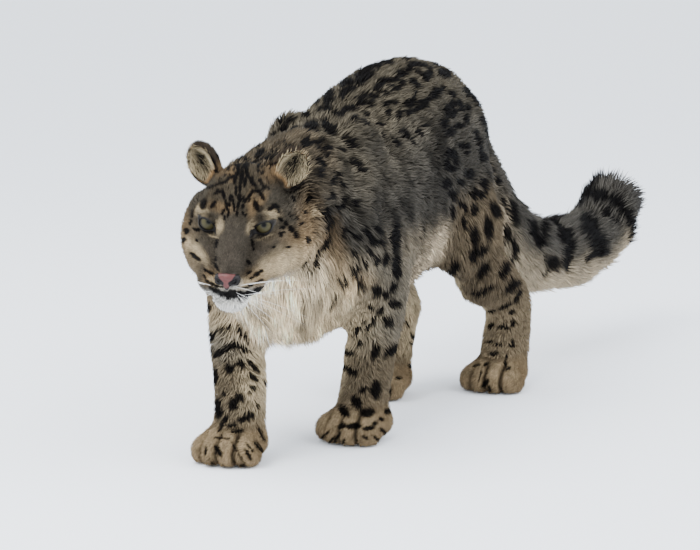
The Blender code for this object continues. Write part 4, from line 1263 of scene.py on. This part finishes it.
# The nose: bare pebbled leather, dark pink in the middle and black round the two comma-shaped
# nostrils. It is one solid with a short stem down to the lip.
NOSE_VOXEL = 0.0009
NOSE_FORMS = [
    (0.000, -0.0805, -0.0575, 0.0150, 0.0085, 0.0068), (0.009, -0.0800, -0.0590, 0.0090, 0.0080, 0.0062),
    (0.0145, -0.0775, -0.0600, 0.0072, 0.0085, 0.0060), (0.0120, -0.0780, -0.0665, 0.0075, 0.0080, 0.0048),
    (0.004, -0.0830, -0.0650, 0.0055, 0.0062, 0.0070), (0.000, -0.0815, -0.0715, 0.0042, 0.0060, 0.0072),
]
NOSTRIL = ((0.0070, -0.0905, -0.0665), (0.0125, -0.0870, -0.0640), (0.0190, -0.0790, -0.0590))
NOSTRIL_WIDTH = 0.0030
NOSTRIL_DEPTH = 0.0048
TONES |= {"leather": (16, 13, 14), "pink leather": (86, 49, 47)}

nose_shapes = []
for x, y, z, wide, long, deep in NOSE_FORMS + [(-x, *rest) for x, *rest in NOSE_FORMS if x]:
    form = bmesh.new()
    place = HEAD @ Matrix.Translation((x + MUZZLE_ASIDE, y, z)) @ Matrix.Diagonal((wide, long, deep, 1))
    bmesh.ops.create_icosphere(form, subdivisions=4, radius=1, matrix=place)
    nose_shapes.append(form)
nose_mesh = remeshed(nose_shapes, NOSE_VOXEL, 5)
at = coordinates(nose_mesh)
q = rows(at, to_head) - np.array((MUZZLE_ASIDE, 0, 0))
nose_normals = normals_of(nose_mesh)
open_part = np.zeros(len(q))
for sign in SIDES.values():
    stops = [np.array(p) * (sign, 1, 1) for p in NOSTRIL]
    for first, second in zip(stops, stops[1:]):
        run = second - first
        t = np.clip(((q - first) @ run) / (run @ run), 0, 1)
        away = np.linalg.norm((q - first - t[:, None] * run) * (1, 0.55, 1), axis=1)
        open_part = np.maximum(open_part, np.exp(-((away / NOSTRIL_WIDTH) ** 2)))
at = at - nose_normals * (open_part * NOSTRIL_DEPTH)[:, None]
nose_mesh.vertices.foreach_set("co", at.ravel())
outward(nose_mesh)
across = np.abs(q[:, 0])
wedge = soft_step(0.0012, -0.0012, across - 0.62 * (q[:, 2] + 0.0745))
stem = soft_step(0.0058, 0.0034, across) * soft_step(-0.076, -0.071, q[:, 2])
pink = np.maximum(wedge, stem) * soft_step(-0.0505, -0.0525, q[:, 2] + 0.10 * across)
pink = pink * soft_step(0.30, 0.08, open_part)
leather = mixed(np.tile(tone("leather"), (len(q), 1)), "pink leather", pink)
coloured(nose_mesh, leather * (1 + 0.15 * noise(at, 0.003, 5))[:, None])
nose_mesh.materials.append(moist_finish("nose leather", 0.45, 0.12, 0.15, 0.00018))
nose = placed("nose_leather", nose_mesh)
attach(nose, "root")
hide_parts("nose")

# The whiskers: stiff white hairs in rows on the upper lip, thick at the root and drawn out to
# a point. Each is a bent line that a profile is swept along.
WHISKER_SEED = 5
WHISKER_ROWS = ((-0.0745, 3), (-0.0795, 4), (-0.0845, 3))
WHISKER_RADIUS = 0.00026
WHISKER_SIDES = 6
WHISKER_STOPS = 10
whisker_chance = np.random.default_rng(WHISKER_SEED)
stops, links, thickness = [], [], []
for side, sign in SIDES.items():
    for row, (height, number) in enumerate(WHISKER_ROWS):
        for place in range(number):
            aside, ahead, up = 0.020 + 0.0052 * place, -0.078 + 0.004 * place, height - 0.0006 * place
            root_at = on_head(np.array([(sign * aside, ahead, up)]), FACE_FUR_DEPTH, 12)[0]
            long = 0.060 + 0.011 * place + 0.012 * whisker_chance.random()
            rise = 0.22 - 0.26 * row + 0.16 * whisker_chance.normal()
            way = unit(np.array((sign * (0.75 + 0.12 * place), -0.30 + 0.20 * place, rise)))
            links += [(len(stops) + step, len(stops) + step + 1) for step in range(WHISKER_STOPS - 1)]
            for t in np.linspace(0, 1, WHISKER_STOPS):
                bend = np.array((0.0, 0.30 * t * t, -0.22 * t * t))
                stops.append(root_at + long * (way * t + bend))
                thickness.append((1 - t) ** 0.8 * 0.94 + 0.06)
lines = bpy.data.meshes.new("whisker lines")
lines.from_pydata(rows(np.array(stops), HEAD).tolist(), links, [])
lines.attributes.new("thickness", "FLOAT", "POINT").data.foreach_set("value", thickness)

sweep = bpy.data.node_groups.new("swept whiskers", "GeometryNodeTree")
inputs = {
    name: sweep.interface.new_socket(name, in_out="INPUT", socket_type=f"NodeSocket{kind}").identifier
    for name, kind in (("Lines", "Geometry"), ("Root radius", "Float"), ("Sides", "Int"))
}
sweep.interface.new_socket("Whiskers", in_out="OUTPUT", socket_type="NodeSocketGeometry")
given, taper, as_curve, with_radius, ring, swept, real, finished, result = (
    sweep.nodes.new(kind) for kind in (
        "NodeGroupInput", "GeometryNodeInputNamedAttribute", "GeometryNodeMeshToCurve",
        "GeometryNodeSetCurveRadius", "GeometryNodeCurvePrimitiveCircle", "GeometryNodeCurveToMesh",
        "GeometryNodeRealizeInstances", "GeometryNodeSetMaterial", "NodeGroupOutput",
    )
)
taper.data_type = "FLOAT"
taper.inputs["Name"].default_value = "thickness"
swept.inputs["Fill Caps"].default_value = True
whisker_finish = Finish("whisker", Base_Color=(0.86, 0.84, 0.80, 1.0), Roughness=0.35)
finished.inputs["Material"].default_value = whisker_finish.material
for start, output, end, socket in (
    (given, "Lines", as_curve, "Mesh"), (as_curve, "Curve", with_radius, "Curve"),
    (taper, "Attribute", with_radius, "Radius"), (with_radius, "Curve", swept, "Curve"),
    (given, "Root radius", ring, "Radius"), (given, "Sides", ring, "Resolution"),
    (ring, "Curve", swept, "Profile Curve"), (taper, "Attribute", swept, "Scale"),
    (swept, "Mesh", real, "Geometry"), (real, "Geometry", finished, "Geometry"),
    (finished, "Geometry", result, "Whiskers"),
):
    sweep.links.new(start.outputs[output], end.inputs[socket])
source = placed("whisker source", lines)
swept_by = source.modifiers.new("sweep", "NODES")
swept_by.node_group = sweep
swept_by[inputs["Root radius"]] = WHISKER_RADIUS
swept_by[inputs["Sides"]] = WHISKER_SIDES
whisker_mesh = evaluated(source)
outward(whisker_mesh)
whiskers = placed("whiskers", whisker_mesh)
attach(whiskers, "root")

# The coat: closed, flattened spikes of hair, each a tuft that grows from the skin, lies over
# the next one and bends down towards its tip. Short fur has four faces to a tuft, long fur ten.
COAT_SEED = 11
COAT_FACES = 1430000
TUFT_FACES = {"short": 4, "long": 10}
SHORT_FUR = 0.0125
ROOT_SUNK = 0.0012
LOWEST_ROOT = 0.003
EYE_NEAR = 0.04
NOSE_BARE = (0.017, 0.020, 0.0125)
NOSE_BARE_DROP = (0, 0, -0.003)
chance = np.random.default_rng(COAT_SEED)

corners = points[triangles]
areas = np.linalg.norm(np.cross(corners[:, 1] - corners[:, 0], corners[:, 2] - corners[:, 0]), axis=1) / 2
face_fields = fields[triangles].mean(axis=1)
short_face = face_fields[:, 0] < SHORT_FUR
wanted = areas / face_fields[:, 4] ** 2
wanted_faces = wanted * np.where(short_face, TUFT_FACES["short"], TUFT_FACES["long"])
thin = min(1.0, COAT_FACES / float(wanted_faces.sum()))
ends = np.cumsum(wanted * np.where(short_face, 1.0, thin))
count = int(ends[-1])
grown_on = np.minimum(np.searchsorted(ends, np.arange(count) + chance.random(count)), len(triangles) - 1)
share = chance.random((count, 2))
share[share.sum(axis=1) > 1] = 1 - share[share.sum(axis=1) > 1]
share = np.column_stack([1 - share.sum(axis=1), share])


def at_roots(values):
    """Values on the skin's vertices, worked out at every tuft's root."""
    values = values.reshape(len(values), -1)
    return (values[triangles[grown_on]] * share[:, :, None]).sum(axis=1)


# No tuft grows on the lids, on the nose leather or under the paws.
root = at_roots(points)
q = rows(root, to_head)
nose_middle = np.array(to_head @ (sum(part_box("nose"), Vector()) / 2))
from_nose = (q - nose_middle - NOSE_BARE_DROP) / np.array(NOSE_BARE)
keep = (np.linalg.norm(from_nose, axis=1) > 1) & (root[:, 2] > LOWEST_ROOT)
eye_far = np.full(count, 1.0)
for side, sign in SIDES.items():
    place = rows(q, EYE_FRAME[side].inverted())
    far = np.hypot(place[:, 0], place[:, 2])
    beyond = far - rim_reach(np.arctan2(place[:, 2], sign * place[:, 0]))[1]
    keep &= (beyond > 0.0002) | (place[:, 1] > 0.004) | (far > EYE_NEAR)
    by_eye = (far < EYE_NEAR) & (place[:, 1] < 0.01)
    eye_far = np.where(by_eye, np.minimum(eye_far, beyond), eye_far)
grown_on, share, root, q, eye_far = grown_on[keep], share[keep], root[keep], q[keep], eye_far[keep]
count = len(root)
whose = owner[triangles[grown_on][np.arange(count), share.argmax(axis=1)]]
normal = unit(at_roots(normals))
way = at_roots(flow)
length, _, lift, width, _ = at_roots(fields).T
short = length < SHORT_FUR

muzzle = (np.array(flesh)[whose] == "head") * soft_step(-0.015, -0.055, q[:, 1])
length = length * (0.8 + 0.4 * chance.random(count)) * (1 - 0.30 * muzzle)
length = length * (0.42 + 0.58 * soft_step(0.0, 0.012, eye_far))
wider = np.where(short, 1.0, 1 / math.sqrt(max(thin, 0.4)) * 0.92)
width = width * (0.8 + 0.4 * chance.random(count)) * wider
sway = 0.34 * noise(root, 0.055, 7) + 0.30 * noise(root, 0.018, 8) + chance.normal(0, 0.11, count)
way = unit(way - normal * (way * normal).sum(1)[:, None])
way = unit(way * np.cos(sway)[:, None] + np.cross(normal, way) * np.sin(sway)[:, None])
lift = lift * (0.75 + 0.5 * chance.random(count)) * (1 + 0.5 * noise(root, 0.03, 9))


def raised(turn, reach):
    """The place on every tuft at a share of its length, as its lift turns it off the skin."""
    turn = (lift * turn)[:, None]
    return root + (way * np.cos(turn) + normal * np.sin(turn)) * (length * reach)[:, None]


middle = raised(1.3, 0.5)
tip = raised(0.9, 1.0)

# Hair hangs together in locks: the tips of neighbouring tufts draw in to one place.
LOCK_TUFTS = 16
LOCK_PULL = 0.34
LOWEST_TIP = 0.0012
long_fur = np.nonzero(~short)[0]
leaders = chance.choice(long_fur, max(len(long_fur) // LOCK_TUFTS, 1), replace=False)
lock_tree = KDTree(len(leaders))
for index, leader in enumerate(leaders):
    lock_tree.insert(Vector(root[leader]), index)
lock_tree.balance()
led_by = leaders[[lock_tree.find(Vector(root[k]))[1] for k in long_fur]]
pull = LOCK_PULL * (0.5 + chance.random(len(long_fur)))[:, None]
close = np.linalg.norm(root[led_by] - root[long_fur], axis=1)[:, None] < 0.9 * length[long_fur][:, None]
tip[long_fur] += (tip[led_by] - tip[long_fur]) * pull * close
tip[:, 2] = np.maximum(tip[:, 2], LOWEST_TIP)
middle[:, 2] = np.maximum(middle[:, 2], LOWEST_TIP + 0.0003)

inner = at_roots(ear_inner)[:, 0]
# Most tufts in the deepest part of each ear's hollow are painted nearly black, as painted shade.
ear_place = np.zeros(count)
for side in SIDES:
    p = (rows(root, EAR[side].inverted()) - np.array(HOLLOW)) / np.array(HOLLOW_RADII)
    deep = np.exp(-((p[:, 0] * 1.6) ** 2 + (p[:, 2] + 0.1) ** 2) * 1.6)
    ear_place += deep * (np.linalg.norm(p, axis=1) < 1.5)
ear_hollow_shade = soft_step(0.5, 0.9, inner) * np.clip(ear_place * 1.3, 0, 1)
painted = layered(
    coat_colour(root + (tip - root) * 0.62, at_roots(ground), at_roots(seen)[:, 0], whose),
    ("ear inside", soft_step(0.3, 0.7, inner) * 0.9),
    ("ear hollow shade", ear_hollow_shade * (chance.random(count) < 0.8)),
)
painted = painted * np.clip(1 + chance.normal(0, 0.17, count), 0.5, 1.6)[:, None]
sideways = unit(np.cross(normal, tip - root))
upwards = unit(np.cross(tip - root, sideways))


def unrolled(at, index):
    """The place of each root on a flat map of one piece's skin, from 0 to 1: it is unrolled
    round the piece's own length, or opened out from the nose on the head."""
    name = flesh[index[0]]
    if name.startswith(("head", "ear")):
        p = rows(at, to_head) + np.array((0, 0, 0.03))
        turn = np.arctan2(p[:, 2], p[:, 0])
        out = np.arctan2(np.hypot(p[:, 0], p[:, 2]), 0.05 - p[:, 1])
        flat = np.stack([out * np.cos(turn), out * np.sin(turn)], 1)
    elif name.startswith(("trunk", "neck")):
        turn = np.arctan2(at[:, 2] - at[:, 2].mean(), at[:, 0] - MIDDLE_X)
        flat = np.stack([turn * 0.2, at[:, 1]], 1)
    elif name.startswith("tail"):
        away = at - tail_line[along_tail(at)]
        flat = np.stack([np.arctan2(away[:, 2], away[:, 0]) * 0.05, at[:, 1]], 1)
    else:
        flat = np.zeros((len(at), 2))
        for each in np.unique(index):
            part = index == each
            hub = at[part].mean(axis=0)
            turn = np.arctan2(at[part, 1] - hub[1], at[part, 0] - hub[0])
            flat[part] = np.stack([turn * 0.05 + 0.4 * (hub[0] > MIDDLE_X), at[part, 2]], 1)
    low, high = flat.min(axis=0), flat.max(axis=0)
    return 0.01 + 0.98 * (flat - low) / np.maximum(high - low, 1e-6)


# The corners of a tuft: three at the root, three more halfway on a long one, and the tip.
FACES = {
    "short": [(0, 1, 3), (1, 2, 3), (2, 0, 3), (0, 2, 1)],
    "long": [
        (0, 1, 4), (0, 4, 3), (1, 2, 5), (1, 5, 4), (2, 0, 3), (2, 3, 5),
        (3, 4, 6), (4, 5, 6), (5, 3, 6), (0, 2, 1),
    ],
}
# Each tuft is painted darker at the root, as painted shade deep in the coat, and lighter at the tip, partly
# as painted light.
SHADE = {"root": 0.50, "middle": 1.0, "tip": 1.16}
PALE_ROOT = 0.36
PATCH = 0.0015
coat_finish = hair_finish("winter coat", 0.66, 700.0, 0.0004)


def coat_piece(name, kind, picked):
    """One piece of the coat, made of the picked tufts."""
    base, bend = root[picked] - normal[picked] * ROOT_SUNK, middle[picked]
    s, u = sideways[picked] * width[picked][:, None], upwards[picked] * width[picked][:, None]
    stops = [base - s * 0.5, base + s * 0.5, base + u * 0.42]
    shades, places = ["root"] * 3, [(-1, -1), (1, -1), (0, -1)]
    if kind == "long":
        stops += [bend - s * 0.42, bend + s * 0.42, bend + u * 0.34]
        shades += ["middle"] * 3
        places += [(-1, 0), (1, 0), (0, 0)]
    built = np.stack(stops + [tip[picked]], 1)
    shades, places = np.array(shades + ["tip"]), np.array(places + [(0, 1)])
    corner_count = len(shades)
    index = (np.arange(len(picked)) * corner_count)[:, None, None] + np.array(FACES[kind])[None]
    mesh = bpy.data.meshes.new(name)
    mesh.vertices.add(len(picked) * corner_count)
    mesh.vertices.foreach_set("co", built.reshape(-1).astype(np.float32))
    mesh.loops.add(index.size)
    mesh.loops.foreach_set("vertex_index", index.reshape(-1).astype(np.int32))
    mesh.polygons.add(index.size // 3)
    mesh.polygons.foreach_set("loop_start", np.arange(0, index.size, 3, dtype=np.int32))
    mesh.polygons.foreach_set("use_smooth", np.ones(index.size // 3, bool))
    mesh.update()
    # Pale hair gets less of the painted shade at its root.
    paleness = np.clip(painted[picked].mean(axis=1) * 1.5, 0, 1)[:, None]
    shade = np.array([SHADE[k] for k in shades])[None] + PALE_ROOT * paleness * (shades == "root")[None]
    coloured(mesh, (painted[picked][:, None] * shade[:, :, None]).reshape(-1, 3))
    layout = mesh.uv_layers.new(name="OFBake")
    spots = unrolled(root[picked], whose[picked])[:, None] + places[None] * PATCH
    layout.data.foreach_set("uv", spots.reshape(-1, 2)[index.reshape(-1)].reshape(-1).astype(np.float32))
    mesh.materials.append(coat_finish)
    mesh.validate()
    made = placed(name, mesh)
    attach(made, "root")


PIECES = {
    "head": ("head",), "ears": ("ear",), "neck": ("neck",), "trunk": ("trunk",),
    "forelegs": ("foreleg",), "foreshins": ("foreshin",), "forepaws": ("forepaw",),
    "hindlegs": ("hindleg",), "hindshins": ("hindshin",), "hindpaws": ("hindpaw",),
    "tail_root": ("tail_base", "tail_middle"), "tail_end": ("tail_end", "tail_tip"),
}
MOST_FACES = 190000
for piece, prefixes in PIECES.items():
    mine = np.array([node.startswith(prefixes) for node in flesh])[whose]
    for kind, chosen in (("short", mine & short), ("long", mine & ~short)):
        picked = np.nonzero(chosen)[0]
        if len(picked):
            parts = -(-len(picked) * TUFT_FACES[kind] // MOST_FACES)
            cuts = np.array_split(picked[np.argsort(root[picked, 1])], parts)
            for number, part in enumerate(cuts):
                coat_piece(f"coat_{piece}_{kind}_{number + 1}", kind, part)

# The studio: a plain pale floor, an even sky of soft light, and two wide lamps.
FLOOR_SIZE = 30.0
SKY = (0.90, 0.95, 1.0, 1.0)
SKY_STRENGTH = 2.4
LAMP_MIDDLE = (0, -0.1, 0.35)
LAMP_FAR = 3.2
floor_shape = bmesh.new()
bmesh.ops.create_grid(floor_shape, size=FLOOR_SIZE, x_segments=1, y_segments=1)
floor_mesh = bpy.data.meshes.new("floor")
floor_shape.to_mesh(floor_mesh)
floor_shape.free()
floor_finish = Finish("pale floor", Base_Color=(0.90, 0.93, 0.98, 1.0), Roughness=0.9, Specular_IOR_Level=0.1)
floor_mesh.materials.append(floor_finish.material)
floor = placed("floor", floor_mesh)
world = bpy.data.worlds.new("studio")
world.use_nodes = True
world.node_tree.nodes["Background"].inputs["Color"].default_value = SKY
world.node_tree.nodes["Background"].inputs["Strength"].default_value = SKY_STRENGTH
bpy.context.scene.world = world
for name, azimuth, elevation, size, power in (("key", -20, 50, 2.5, 150), ("side", 95, 35, 2.5, 60)):
    light = bpy.data.lights.new(name, "AREA")
    light.size = size
    light.energy = power
    lamp = bpy.data.objects.new(name, light)
    swing = Matrix.Rotation(math.radians(azimuth), 4, "Z")
    tilt = Matrix.Rotation(math.radians(90 - elevation), 4, "X")
    lamp.matrix_world = Matrix.Translation(LAMP_MIDDLE) @ swing @ tilt @ Matrix.Translation((0, 0, LAMP_FAR))
    bpy.context.scene.collection.objects.link(lamp)
